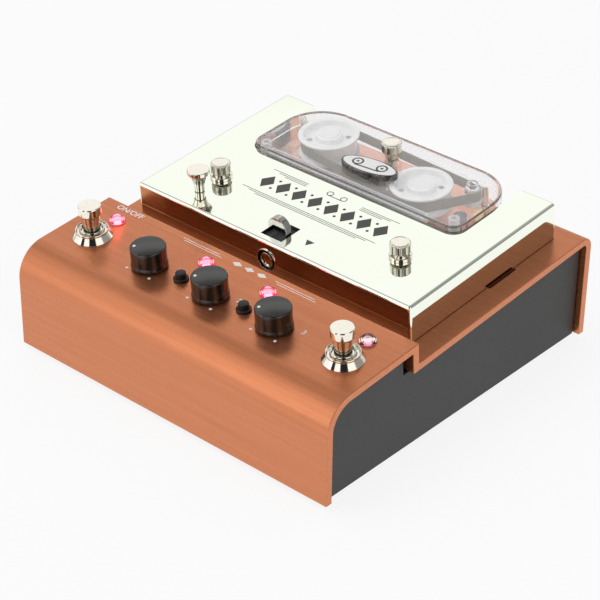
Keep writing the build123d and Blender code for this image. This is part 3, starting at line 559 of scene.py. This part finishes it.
for side in (-1, 1):
    x = switch_x * side
    block = eased([(x - 9, switch_v - 9, 0.8), (x + 9, switch_v - 9, 0.8),
                   (x + 9, switch_v + 9, 0.8), (x - 9, switch_v + 9, 0.8)], 3)
    body = slab("body", block, -9.5, 8.5, 0.5)
    bore = moved(turned("tool", [(0, -1.1), (4.95, -1.1), (4.95, 9), (0, 9)], 48), x, switch_v)
    bodies_parts.append(cut(body, [bore]))
    bodies_parts.append(numbered(moved(turned("bush", bush, 64), x, switch_v), 1))
    for across_lug in (-5, 0, 5):
        for along_lug in (-5, 0, 5):
            a, b = x + across_lug, switch_v + along_lug
            lug = [(a - 1, b - 0.4), (a + 1, b - 0.4), (a + 1, b + 0.4), (a - 1, b + 0.4)]
            bodies_parts.append(numbered(slab("lug", lug, -13.5, -9.5), 2))
    nut_parts.append(moved(turned("nut", nut_profile, 128), x, switch_v))
    place = "left" if side < 0 else "right"
    plunger = turned("plunger_" + place, plunger_profile, 96)
    seat(plunger, nickel, (x, switch_v, 0))
    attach(plunger, "footswitch_" + place)
    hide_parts("footswitch_plunger_" + place)
switch_bodies = seat(joined("switch_bodies", bodies_parts), [blue_plastic, nickel, brass])
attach(switch_bodies, "case")
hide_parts("footswitch_bodies")
dress_nuts = seat(joined("dress_nuts", nut_parts), nickel)
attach(dress_nuts, "case")
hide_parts("footswitch_dress_nuts")

# ---- Push buttons ----
# Two small black push buttons between the knobs, each in a coned collar.
button_profile = eased([(0, 4.4, 0), (3.0, 4.4, 0.1), (3.0, 17.7, 0.45), (0, 18.0, 0)], 5,
                       closed=False)
collar_profile = eased([(3.08, 2.5, 0), (3.5, 2.5, 0), (3.5, 13.0, 0), (3.95, 13.0, 0.1),
                        (4.35, 13.7, 0.2), (4.35, 14.1, 0.2), (3.6, 14.7, 0.3),
                        (3.08, 14.7, 0.1)], 4)
collars = []
for place, side in (("left", -1), ("right", 1)):
    x = button_x * side
    button = turned("button_cap_" + place, button_profile, 48)
    seat(button, black_plastic, (x, button_v, 0))
    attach(button, "button_" + place)
    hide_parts("button_" + place)
    collars.append(moved(turned("collar", collar_profile, 48), x, button_v))
    low_v, high_v = button_v - 4.5, button_v + 4.5
    case_outline = eased([(x - 4.5, low_v, 0.3), (x + 4.5, low_v, 0.3), (x + 4.5, high_v, 0.3),
                          (x - 4.5, high_v, 0.3)], 2)
    box = slab("box", case_outline, 0, 8.5, 0.2)
    bore = moved(turned("tool", [(0, 2.5), (3.6, 2.5), (3.6, 9), (0, 9)], 40), x, button_v)
    collars.append(cut(box, [bore]))
button_housings = seat(joined("button_housings", collars), black_plastic)
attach(button_housings, "case")
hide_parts("button_bodies")

# ---- Indicator lights ----
# Clear domed lenses pushed into the panel over red diodes. Three are lit brightly and one faintly.
lens_profile = [(2.6, 6.5), (3.9, 6.5), (3.9, 13.0), (4.75, 13.0), (4.8, 13.3)]
lens_profile += [(4.8 * cos(radians(a)), 13.3 + 3.4 * sin(radians(a))) for a in range(9, 82, 8)]
lens_profile += [(0, 16.7), (0, 13.6), (2.0, 13.55), (2.6, 13.0)]
diode_profile = eased([(0, 4.0, 0), (2.5, 4.0, 0.1), (2.5, 13.35, 2.2), (0, 13.4, 0)], 6,
                      closed=False)
for place, x, lit in (("1", -switch_x, True), ("2", -inner_light_x, True),
                      ("3", inner_light_x, True), ("4", switch_x, False)):
    glow, glow_shader = finish("diode_glow_" + place, (0.9, 0.3, 0.4), 0.0, 0.3)
    glow_shader.inputs["Emission Color"].default_value = (1.0, 0.5, 0.8, 1)
    glow_shader.inputs["Emission Strength"].default_value = 2.2 if lit else 0.35
    shade(glow, speckle(glow, (900, 900, 900)), (0.9, 0.25, 0.35), (0.95, 0.45, 0.55))
    if lit:
        bulb = bpy.data.lights.new("shine_" + place, "POINT")
        bulb.color = (1.0, 0.03, 0.07)
        bulb.energy = 0.0015
        bulb.shadow_soft_size = 0.0015
        shine = placed("shine_" + place, bulb)
        shine.location = deck @ Vector((x / 1000, light_v / 1000, 0.0195))
    diode = seat(turned("diode_" + place, diode_profile, 32), glow, (x, light_v, 0))
    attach(diode, "case")
    if place == "1":
        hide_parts("indicator_leds")
    # The pinker colour of the lit lenses and the faint red glow set on every lens are painted
    # light. They stand for the diode's light inside the plastic, since the lens itself is no lamp.
    painted_glow_tint = (1.0, 0.6, 0.68) if lit else (0.97, 0.9, 0.93)
    lens_plastic, lens_shader = finish("lens_" + place, painted_glow_tint, 0.0, 0.04, Transmission_Weight=1.0,
                                       IOR=1.46)
    lens_shader.inputs["Emission Color"].default_value = (1.0, 0.05, 0.14, 1)
    lens_shader.inputs["Emission Strength"].default_value = 0.15 if lit else 0.01
    wander(lens_plastic, speckle(lens_plastic, (1200, 1200, 1200)), 0.01, 0.06)
    lens = seat(turned("lens_dome_" + place, lens_profile, 64), lens_plastic, (x, light_v, 0))
    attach(lens, "case")
    if place == "1":
        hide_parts("indicator_lenses")

# ---- Tape drive ----
# Steel posts, the bearing, flywheel and capstan, the motor on its bracket and the rubber belt.
# They hang under the shelf, and the three heads stand on a bridge under the cassette.
head_metal, _ = finish("lapped_head", (0.6, 0.6, 0.58), 1.0, 0.18)
shade(head_metal, speckle(head_metal, (120, 900, 900)), (0.52, 0.52, 0.5), (0.7, 0.7, 0.68))
finish_node(steel, "lid_posts", "head_bridge", "motor_bracket", "motor", "flywheel")
finish_node(nickel, "capstan", "cassette_post")
finish_node(rubber, "cassette_rests", "drive_belt")
finish_node(head_metal, "erase_head", "record_head", "playback_head")
finish_node(brass, "capstan_bearing", "motor_pulley")

# ---- Deck lid ----
# A box folded from steel sheet and polished to a mirror, cut out at the rear for the cassette.
# Its front and side bends are rounded, and it stands just clear of the shelf.
lid_half, lid_front, lid_rear = 100.7, 10.1, 138.6
lid_low, lid_top, lid_sheet, lid_bend = 0.4, 23.3, 1.5, 1.8
well_half, well_front = 77.6, 78.3
screw_x, screw_v = 66.5, 44
release_at = (-66.2, 25.6)
catch_x, catch_n = -1.3, 11


def rectangle(x0, x1, v0, v1, radius=0.0, steps=4):
    return eased([(x0, v0, radius), (x1, v0, radius), (x1, v1, radius), (x0, v1, radius)], steps)


def lid_outline(inset):
    return rectangle(-lid_half + inset, lid_half - inset, lid_front + inset, lid_rear - inset,
                     lid_bend + 0.05 - inset, 6)


lid = layered("mirror_lid", lid_outline, [(0, lid_low)] + rounded_top(lid_top, lid_bend))
inner_low, inner_top = -2, lid_top - lid_sheet
t = lid_sheet
hollow = [(-lid_half + t, lid_front + t), (lid_half - t, lid_front + t),
          (lid_half - t, lid_rear - t), (well_half + t, lid_rear - t),
          (well_half + t, well_front - t), (-well_half - t, well_front - t),
          (-well_half - t, lid_rear - t), (-lid_half + t, lid_rear - t)]
cut(lid, [slab("tool", hollow, inner_low, inner_top)])
well = eased([(-well_half, well_front, 9.7), (well_half, well_front, 9.7),
              (well_half, lid_rear + 6, 0), (-well_half, lid_rear + 6, 0)], 12)
cut(lid, [slab("tool", well, inner_low, lid_top + 4)])
window = rectangle(-9.3, 6.1, 14.9, 30.9, 0.3, 2)
lid_tools = [slab("tool", window, inner_top - 1, lid_top + 2)]
lid_tools += [drill(x, v, inner_top - 1, lid_top, r, 0.1)
              for x, v, r in ((-screw_x, screw_v, 2.6), (screw_x, screw_v, 2.6),
                              (*release_at, 2.7))]
bore = turned("tool", [(0, -4), (6.5, -4), (6.5, 3), (0, 3)], 64)
facing = Matrix.Translation((catch_x, lid_front, catch_n)) @ on_end
lid_tools.append(moved(bore, by=facing))
cut(lid, lid_tools)
mirror, _ = finish("mirror_polish", (0.955, 0.985, 0.875), 1.0, 0.03)
mirror_haze = speckle(mirror, (22, 22, 22), 4.0)
shade(mirror, mirror_haze, (0.95, 0.982, 0.865), (0.96, 0.99, 0.885))
wander(mirror, mirror_haze, 0.015, 0.04)
seat(lid, mirror)
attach(lid, "lid")
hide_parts("deck_lid")

# ---- Printing on the lid ----
# Dark screen print: groups of fine rules with stepped ends, a row of lozenges and beads between
# them, a small pair of reels, and an arrow by the lock.
marks = []


def rules(x0, x1, v, step_left, step_right):
    """Three fine parallel rules, each stepped in from the one before."""
    for k in range(3):
        level = v - 1.4 * k
        marks.append(stroke((x0 + step_left * k, level), (x1 - step_right * k, level), 0.34))


rules(-47.8, -21.2, 68.7, 5.3, 0.0)
rules(18.6, 45.6, 68.7, 0.0, 5.3)
rules(-51.1, 47.3, 45.5, 5.8, 5.8)
for k in range(8):
    x = -42.0 + 12.0 * k
    marks.append(lozenge(x, 56.6, 4.6, 6.6))
    if k < 7:
        marks.append(printed_disc(x + 6.0, 61.0, 0.9))
        marks.append(printed_disc(x + 6.0, 52.2, 0.9))
marks += [printed_ring(-5, 68.6, 1.9, 0.5), printed_ring(5, 68.6, 1.9, 0.5),
          stroke((-5, 66.7), (5, 66.7), 0.5)]
marks.append(slab("arrow", [(15.6, 25.4), (18.5, 20.6), (21.2, 25.4)], 0, ink_thick))
lid_print = moved(joined("lid_print", marks), 0, 0, lid_top + 0.01)
dark_ink, _ = finish("dark_ink", (0.06, 0.055, 0.05), 0.0, 0.5)
shade(dark_ink, speckle(dark_ink, (2400, 2400, 2400)), (0.045, 0.042, 0.038),
      (0.09, 0.085, 0.075))
seat(lid_print, dark_ink)
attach(lid_print, "lid")

# ---- Lid thumbscrews and ferrules ----
# Turned nickel thumbscrews with a straight knurl, a polished neck and a shank into the post
# below. A turned ferrule is pressed into the lid under each.


def thumbscrew(name, neck_low, neck_top, low=6.0):
    top = neck_top + 6.35
    profile = eased([
        (0, low, 0), (2.0, low, 0.3), (2.0, neck_low, 0), (4.0, neck_low, 0.15),
        (4.0, neck_top, 0.2), (5.3, neck_top + 0.15, 0.15), (5.9, neck_top + 0.7, 0.1),
        (5.9, top - 0.75, 0.1), (5.45, top - 0.2, 0.15), (4.9, top, 0.2), (4.3, top - 0.1, 0.1),
        (0, top - 0.15, 0)], 3, closed=False)
    return turned(name, profile, teeth=(48, 0.32, neck_top + 0.45, top - 0.5))


ferrule_profile = eased([(2.6, 21.9, 0), (3.2, 21.9, 0), (3.2, 23.3, 0), (6.45, 23.3, 0.2),
                         (6.45, 24.9, 0.3), (5.9, 25.3, 0.2), (2.6, 25.3, 0.1)], 4)
ferrules = []
for place, side in (("left", -1), ("right", 1)):
    x = screw_x * side
    screw = seat(thumbscrew("knurled_screw_" + place, 25.3, 26.8), nickel, (x, screw_v, 0))
    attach(screw, "thumbscrew_" + place)
    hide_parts("thumbscrew_" + place)
    ferrules.append(moved(turned("ferrule", ferrule_profile, 64), x, screw_v))
ferrules = seat(joined("ferrules", ferrules), nickel)
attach(ferrules, "lid")
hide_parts("thumbscrew_ferrules")

# ---- Release knob ----
# A turned nickel pull knob on a slim waisted stem, which slides in a brass bush under the lid.
release_profile = eased([
    (0, 6.8, 0), (2.5, 6.8, 0.2), (2.5, 8.8, 0), (4.0, 8.8, 0.1), (4.0, 10.0, 0.1),
    (2.5, 10.0, 0), (2.5, 23.6, 0.1), (2.8, 23.7, 0.1), (2.8, 28.2, 0.2), (3.4, 28.4, 0.15),
    (3.5, 29.2, 0.3), (4.3, 32.0, 2.0), (5.0, 33.6, 1.0), (6.35, 34.9, 0.3), (6.5, 35.2, 0.2),
    (6.5, 37.15, 0.3), (6.1, 37.45, 0.2), (0, 37.5, 0)], 5, closed=False)
release = seat(turned("pull_knob", release_profile, 96), nickel, (*release_at, 0))
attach(release, "release_knob")
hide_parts("release_knob")
finish_node(brass, "release_bushing")

# ---- Lock ----
# A polished steel thumb tab, round on top, stands up through the lid's window from a blackened
# slide plate that runs on two rails under the lid.
finish_node(steel, "lock_guides")
lock_at, tab_half = -1.6, 6.55
plate = slab("plate", rectangle(-10.5, 7.3, 15.1, 34.6, 0.5, 3), 20.1, 21.5, 0.15)
tab = [(lock_at - tab_half, 21.0), (lock_at + tab_half, 21.0)]
tab += [(lock_at + tab_half * cos(radians(a)), 26.35 + tab_half * sin(radians(a)))
        for a in range(0, 181, 5)]
tab = slab("tab", tab, -24.6, -20.1, 0.4, 4)
moved(tab, by=on_end)
tab_steel, _ = finish("tab_steel", (0.57, 0.565, 0.55), 1.0, 0.08)
shade(tab_steel, speckle(tab_steel, (500, 500, 500)), (0.53, 0.525, 0.51), (0.61, 0.605, 0.59))
lock = seat(joined("lock_tab", [numbered(plate, 1), tab]), [tab_steel, black_steel])
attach(lock, "lock_slider")
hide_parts("lock_slider")

# ---- Catch barrel ----
# A chrome trim ring in the lid's front with a short tube inside it, the way in to the catch.
trim_ring = eased([(5.9, -2.4, 0), (6.4, -2.4, 0), (6.4, 0.0, 0), (7.0, 0.0, 0.1),
                   (6.95, 0.6, 0.25), (6.3, 0.6, 0.2)], 4)
tube = eased([(3.8, -13.5, 0), (4.5, -13.5, 0), (4.5, 0.2, 0.25), (4.0, 0.2, 0.2),
              (3.8, -0.4, 0)], 4)
mouth = [(0, -2.0), (3.85, -2.0), (3.85, -0.7), (0, -0.6)]
flange = [(4.5, -2.7), (7.5, -2.7), (7.5, -1.5), (4.5, -1.5)]
catch_parts = [turned("ring", trim_ring, 72), turned("tube", tube, 72), turned("mouth", mouth, 72),
               numbered(turned("flange", flange, 72), 1)]
catch = joined("catch_ring", [moved(part, by=facing) for part in catch_parts])
seat(catch, [nickel, black_steel])
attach(catch, "lid")
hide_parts("catch_barrel")

# ---- Cassette ----
# A clear acrylic box in two halves, with reel spindles, and with hazier posts and a long channel
# inside its front wall. The cover is bonded on, and the whole cassette lifts out.
reel_left_at, reel_right_at, roller_at = (-47.9, 116.55), (30.0, 106.75), (53.6, 123.6)
cassette_half, cassette_front, cassette_rear = 76.9, 79.0, 137.6
seam = 18.0


def cassette_outline(inset):
    x, v0, v1 = cassette_half - inset, cassette_front + inset, cassette_rear - inset
    return eased([(-x, v0, 9 - inset), (x, v0, 9 - inset), (x, v1, 26 - inset),
                  (-x, v1, 26 - inset)], 14)


def post(x, v, low, high, radius, bore=0.0, ease=0.25):
    profile = [(0, low, 0), (radius, low, 0), (radius, high, ease)]
    profile += [(bore, high, 0.1), (bore, low + 1.5, 0)] if bore else []
    profile += [(0, low + 1.5 if bore else high, 0)]
    return moved(turned("post", eased(profile, 4, closed=False), 40), x, v)


base = layered("clear_base", cassette_outline, [(0.6, 8.0), (0.18, 8.18), (0, 8.6),
                                               (0, seam - 0.25), (0.2, seam - 0.05)])
cut(base, [slab("tool", cassette_outline(2.0), 10.0, seam + 4)])
rib = slab("rib", rectangle(-64.9, 51.9, 82.5, 86.7, 0.6, 3), 9.0, 22.0, 0.3, 2, ease_foot=False)
cut(rib, [slab("tool", rectangle(-63.7, 50.7, 83.7, 85.5, 0.4, 3), 10.0, 25.0)])
corner_posts = ((-70.1, 86.5, 3.3, 1.7), (67.5, 89.2, 3.3, 1.7), (-71.3, 120.0, 2.2, 1.0))
posts = [rib] + [post(x, v, 9, 24.3, radius, bore) for x, v, radius, bore in corner_posts]
posts += [post(*reel_left_at, 9, 21, 3.0), post(*reel_right_at, 9, 21, 3.0),
          post(*roller_at, 9, 20.9, 1.5)]
cut(base, posts, "UNION")
floor_tools = [slab("tool", rectangle(-19, 12, 89.1, 108.1, 1.5, 4), 6, 11),
               moved(turned("tool", [(0, 6), (4.4, 6), (4.4, 11), (0, 11)], 40), 0, 117),
               moved(turned("tool", [(0, 6), (2.6, 6), (2.6, 11), (0, 11)], 32), *capstan_at)]
cut(base, floor_tools)
clear, _ = finish("clear_acrylic", (0.99, 0.985, 0.995), 0.0, 0.02, Transmission_Weight=0.95,
                  IOR=1.49)
clear_grain = speckle(clear, (60, 60, 60))
wander(clear, clear_grain, 0.0, 0.02)


def reckoner(tree):
    """A maker of sums in one shader, each of two outputs or plain numbers."""
    def reckon(kind, first, second):
        node = tree.nodes.new("ShaderNodeMath")
        node.operation = kind
        for socket, value in zip(node.inputs, (first, second)):
            if isinstance(value, (int, float)):
                socket.default_value = value
            else:
                tree.links.new(value, socket)
        return node.outputs[0]
    return reckon


def lets_light_through(made):
    """Lamp light passes straight through a clear plastic, and so does a view that has already
    crossed four of its surfaces."""
    nodes, links = made.node_tree.nodes, made.node_tree.links
    reckon = reckoner(made.node_tree)
    ray = nodes.new("ShaderNodeLightPath")
    unseen = reckon("MAXIMUM", ray.outputs["Is Shadow Ray"], ray.outputs["Is Diffuse Ray"])
    deep = reckon("GREATER_THAN", ray.outputs["Transmission Depth"], 3.5)
    straight = nodes.new("ShaderNodeBsdfTransparent")
    blend = nodes.new("ShaderNodeMixShader")
    links.new(reckon("MAXIMUM", unseen, deep), blend.inputs[0])
    links.new(nodes["Principled BSDF"].outputs[0], blend.inputs[1])
    links.new(straight.outputs[0], blend.inputs[2])
    links.new(blend.outputs[0], nodes["Material Output"].inputs["Surface"])


lets_light_through(clear)
moulded, _ = finish("moulded_clear", (0.95, 0.94, 0.96), 0.0, 0.12, Transmission_Weight=0.6,
                    IOR=1.49)
wander(moulded, speckle(moulded, (300, 300, 300)), 0.08, 0.2)
lets_light_through(moulded)
just_above_floor, around_post = 10.05, 3.4
for face in base.data.polygons:
    x, v, n = face.center
    on_rib = -65 < x < 52 and 82.4 < v < 86.8
    on_post = any(abs(complex(x - a, v - b)) < around_post for a, b, _, _ in corner_posts)
    if n > just_above_floor and (on_rib or on_post):
        face.material_index = 1
seat(base, [clear, moulded])
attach(base, "cassette")
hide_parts("cassette_base")

cover = layered("clear_cover", cassette_outline, [(0.2, seam), (0, seam + 0.2)]
                + rounded_top(26.3, 1.2))
cut(cover, [slab("tool", cassette_outline(2.0), seam - 2, 24.3)])
boss = turned("boss", [(1.9, 21.4), (3.4, 21.4), (3.4, 24.8), (1.9, 24.8)], 40)
cut(cover, [moved(boss, *roller_at)], "UNION")
cut(cover, [moved(turned("tool", [(0, 22), (2.6, 22), (2.6, 28), (0, 28)], 40), 0, 117)])
seat(cover, clear)
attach(cover, "cassette")
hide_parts("cassette_cover")

# ---- Reels, roller and tape ----
# White moulded reels with a rim, a ring-shaped recess with four holes and a raised hub, a small
# guide roller, and the endless loop of tape around all three.
reel_profile = eased([
    (3.1, 10.6, 0), (18.3, 10.6, 0.2), (18.3, 11.9, 0.3), (16.2, 11.9, 0.2), (16.2, 22.2, 0.2),
    (18.3, 22.2, 0.2), (18.3, 23.5, 0.4), (15.2, 23.5, 0.4), (14.6, 20.0, 0.6),
    (8.2, 20.0, 0.5), (8.0, 23.2, 0.5), (6.4, 23.5, 0.3), (6.2, 24.0, 0.3), (0, 24.0, 0)],
    4, closed=False)
reel_profile = [(0, 21.8), (3.1, 21.8)] + reel_profile
for place, at in (("left", reel_left_at), ("right", reel_right_at)):
    reel = turned("reel_disc_" + place, reel_profile, 96)
    holes = [moved(turned("tool", [(0, 9), (1.8, 9), (1.8, 25), (0, 25)], 24),
                   11.5 * cos(radians(a)), 11.5 * sin(radians(a))) for a in (45, 135, 225, 315)]
    cut(reel, holes)
    seat(reel, white_plastic, (*at, 0))
    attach(reel, "reel_" + place)
    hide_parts("reel_" + place)
roller_profile = eased([(1.6, 10.6, 0.1), (5.1, 10.6, 0.2), (5.1, 14.2, 0.2), (4.6, 14.4, 0.1),
                        (4.6, 21.1, 0.2), (1.6, 21.1, 0.1)], 3)
roller = turned("tape_roller", roller_profile, 48)
for face in roller.data.polygons:
    if face.center.z > 14.3:
        face.material_index = 1
roller = seat(roller, [white_plastic, clear], (*roller_at, 0))
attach(roller, "guide_roller")
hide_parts("guide_roller")
tape_film, _ = finish("tape_film", (0.26, 0.245, 0.19), 0.0, 0.35)
shade(tape_film, speckle(tape_film, (60, 60, 2600)), (0.22, 0.205, 0.16), (0.3, 0.285, 0.22))
finish_node(tape_film, "tape_loop")

# ---- Badge ----
# An oval cast badge on the cassette: a dark chrome edge and a white enamel face with a plain
# pair of reels joined by tape.
oval = [(18.8 * cos(2 * pi * k / 96), 7.7 * sin(2 * pi * k / 96)) for k in range(96)]
face_oval = [(a * 0.925, b * 0.85) for a, b in oval]
plate = slab("plate", oval, 26.3, 30.0, 0.7, 4)
face = numbered(slab("face", face_oval, 29.9, 30.08, 0.05, 1), 1)
marks = [printed_ring(-8.2, 0.6, 3.0, 1.1), printed_ring(8.2, 0.6, 3.0, 1.1),
         stroke((-8.2, -3.0), (8.2, -3.0), 1.1), printed_disc(-8.2, 0.6, 0.9),
         printed_disc(8.2, 0.6, 0.9)]
symbol = numbered(moved(joined("symbol", marks), 0, 0, 30.05), 2)
badge = moved(joined("oval_badge", [plate, face, symbol]), 0, 0, 0, 6.0)
dark_chrome, _ = finish("dark_chrome", (0.16, 0.155, 0.15), 1.0, 0.16)
chrome_grain = speckle(dark_chrome, (420, 420, 420), 4.0)
shade(dark_chrome, chrome_grain, (0.1, 0.1, 0.095), (0.26, 0.25, 0.245))
wander(dark_chrome, chrome_grain, 0.1, 0.3)
enamel, _ = finish("white_enamel", (0.86, 0.86, 0.85), 0.0, 0.15)
shade(enamel, speckle(enamel, (200, 200, 200)), (0.83, 0.83, 0.82), (0.88, 0.88, 0.87))
seat(badge, [dark_chrome, enamel, dark_ink], (0, 97.1, 0))
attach(badge, "cassette")
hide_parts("badge")

# ---- Cassette thumbscrew ----
# The same knurled screw on a longer neck holds the cassette down to its post.
screw = seat(thumbscrew("knurled_screw_centre", 26.3, 29.8), nickel, (0, 117, 0))
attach(screw, "thumbscrew_centre")
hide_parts("thumbscrew_centre")

# ---- Floor, lamps and room ----
# A plain white floor and a soft white room with darker gaps between its soft boxes, so that the
# plated pieces show light and dark bands.
floor_mesh = bmesh.new()
bmesh.ops.create_grid(floor_mesh, x_segments=1, y_segments=1, size=6.0)
floor = as_piece("floor", floor_mesh)
floor.location.z = -0.0002
white_floor = bpy.data.materials.new("white_floor")
white_floor.use_nodes = True
nodes, links = white_floor.node_tree.nodes, white_floor.node_tree.links
nodes.clear()
reckon = reckoner(white_floor.node_tree)
out = nodes.new("ShaderNodeOutputMaterial")
both = nodes.new("ShaderNodeMixShader")
matt = nodes.new("ShaderNodeBsdfDiffuse")
matt.inputs["Color"].default_value = (0.9, 0.9, 0.9, 1)
lift = nodes.new("ShaderNodeEmission")
own_light = 0.86
seen = nodes.new("ShaderNodeLightPath")
any_seen = reckon("MAXIMUM", seen.outputs["Is Camera Ray"], seen.outputs["Is Glossy Ray"])
with_glass = reckon("MAXIMUM", any_seen, seen.outputs["Is Transmission Ray"])
links.new(reckon("MULTIPLY", with_glass, own_light), both.inputs[0])
lift.inputs["Strength"].default_value = 1.0
links.new(matt.outputs[0], both.inputs[1])
links.new(lift.outputs[0], both.inputs[2])
links.new(both.outputs[0], out.inputs["Surface"])
floor.data.materials.append(white_floor)

for name, place, size, power in (("key", (-0.4, -0.4, 1.7), 1.4, 11.0),
                                 ("fill", (1.5, -0.4, 0.9), 0.9, 4.2)):
    lamp = placed(name, bpy.data.lights.new(name, "AREA"))
    lamp.data.size = size
    lamp.data.energy = power
    lamp.visible_glossy = False
    lamp.location = place
    aim = Vector((0, 0, 0.05)) - Vector(place)
    lamp.rotation_euler = aim.to_track_quat("-Z", "Y").to_euler()

room = bpy.data.worlds.new("room")
bpy.context.scene.world = room
room.use_nodes = True
nodes, links = room.node_tree.nodes, room.node_tree.links
nodes.clear()
reckon = reckoner(room.node_tree)


def along(direction):
    """How far a ray to the room points along a direction."""
    node = nodes.new("ShaderNodeVectorMath")
    node.operation = "DOT_PRODUCT"
    node.inputs[1].default_value = direction
    links.new(toward.outputs["Generated"], node.inputs[0])
    return node.outputs["Value"]


def ramp(signal, stops):
    """A brightness for each value of a signal, blended between stops."""
    node = nodes.new("ShaderNodeValToRGB")
    links.new(signal, node.inputs["Fac"])
    band = node.color_ramp
    while len(band.elements) > 1:
        band.elements.remove(band.elements[-1])
    band.elements[0].position = stops[0][0]
    band.elements[0].color = (stops[0][1],) * 3 + (1,)
    for position, value in stops[1:]:
        band.elements.new(position).color = (value,) * 3 + (1,)
    return node.outputs["Color"]


toward = nodes.new("ShaderNodeTexCoord")
bearing = reckon("ARCTAN2", along((0.7502, 0.6612, 0)), along((0.6612, -0.7502, 0)))
bearing = reckon("ADD", reckon("DIVIDE", bearing, 2 * pi), 0.5)
up = along((0, 0, 1))
upper_walls = ramp(bearing, [
    (0.0, 1.0), (0.17, 1.0), (0.2, 1.1), (0.31, 1.1), (0.32, 0.03), (0.36, 0.03), (0.37, 1.1),
    (0.438, 1.1), (0.45, 0.02), (0.55, 0.02), (0.562, 1.1), (0.665, 1.1), (0.685, 0.3),
    (0.80, 0.3), (0.835, 1.0)])
lower_walls = ramp(bearing, [
    (0.0, 1.1), (0.17, 1.1), (0.2, 1.4), (0.31, 1.4), (0.32, 0.03), (0.36, 0.03), (0.37, 1.1),
    (0.438, 1.1), (0.45, 0.02), (0.55, 0.02), (0.562, 1.1), (0.665, 1.1), (0.685, 0.3),
    (0.80, 0.3), (0.835, 1.1)])
low = ramp(up, [(0.24, 1.0), (0.44, 0.0)])
rear_wall = ramp(bearing, [(0.17, 1.0), (0.2, 0.0), (0.8, 0.0), (0.83, 1.0)])
walls = reckon("ADD", reckon("MULTIPLY", lower_walls, low),
               reckon("MULTIPLY", upper_walls, reckon("SUBTRACT", 1.0, low)))
near_low = reckon("MULTIPLY", rear_wall, ramp(up, [(0.48, 0.35), (0.55, 0.0)]))
walls = reckon("MULTIPLY", walls, reckon("SUBTRACT", 1.0, near_low))
walls = reckon("MULTIPLY", walls, ramp(up, [(0.70, 1.0), (0.77, 0.42)]))
front_left = ramp(bearing, [(0.05, 0.0), (0.1, 1.0), (0.31, 1.0), (0.32, 0.0)])
slant = ramp(along((-1, 0, 0)), [(0.5, 1.35), (0.55, 1.3), (0.6, 1.1), (0.65, 0.8), (0.7, 0.75)])
slant = reckon("ADD", reckon("MULTIPLY", slant, front_left),
               reckon("SUBTRACT", 1.0, front_left))
walls = reckon("MULTIPLY", walls, slant)
top = ramp(up, [(0.93, 0.0), (0.985, 1.0)])
level = reckon("ADD", reckon("MULTIPLY", walls, reckon("SUBTRACT", 1.0, top)),
               reckon("MULTIPLY", top, 0.2))
# After three polished bounces the room gives less light. A view straight at it, or through clear
# plastic, meets plain white.
loss_after_bounces = 0.7
seen = nodes.new("ShaderNodeLightPath")
bounced = reckon("GREATER_THAN", seen.outputs["Glossy Depth"], 2.5)
lost = reckon("MULTIPLY", bounced, loss_after_bounces)
level = reckon("MULTIPLY", level, reckon("SUBTRACT", 1.0, lost))
plain = reckon("MAXIMUM", seen.outputs["Is Camera Ray"], seen.outputs["Is Transmission Ray"])
through = reckon("GREATER_THAN", seen.outputs["Transmission Depth"], 0.5)
through = reckon("MULTIPLY", through, reckon("SUBTRACT", 1.0, seen.outputs["Is Diffuse Ray"]))
plain = reckon("MAXIMUM", plain, through)
level = reckon("ADD", reckon("MULTIPLY", level, reckon("SUBTRACT", 1.0, plain)), plain)
light = nodes.new("ShaderNodeBackground")
light.inputs["Color"].default_value = (1, 1, 1, 1)
out = nodes.new("ShaderNodeOutputWorld")
links.new(level, light.inputs["Strength"])
links.new(light.outputs[0], out.inputs["Surface"])
bpy.context.scene.view_settings.view_transform = "Standard"
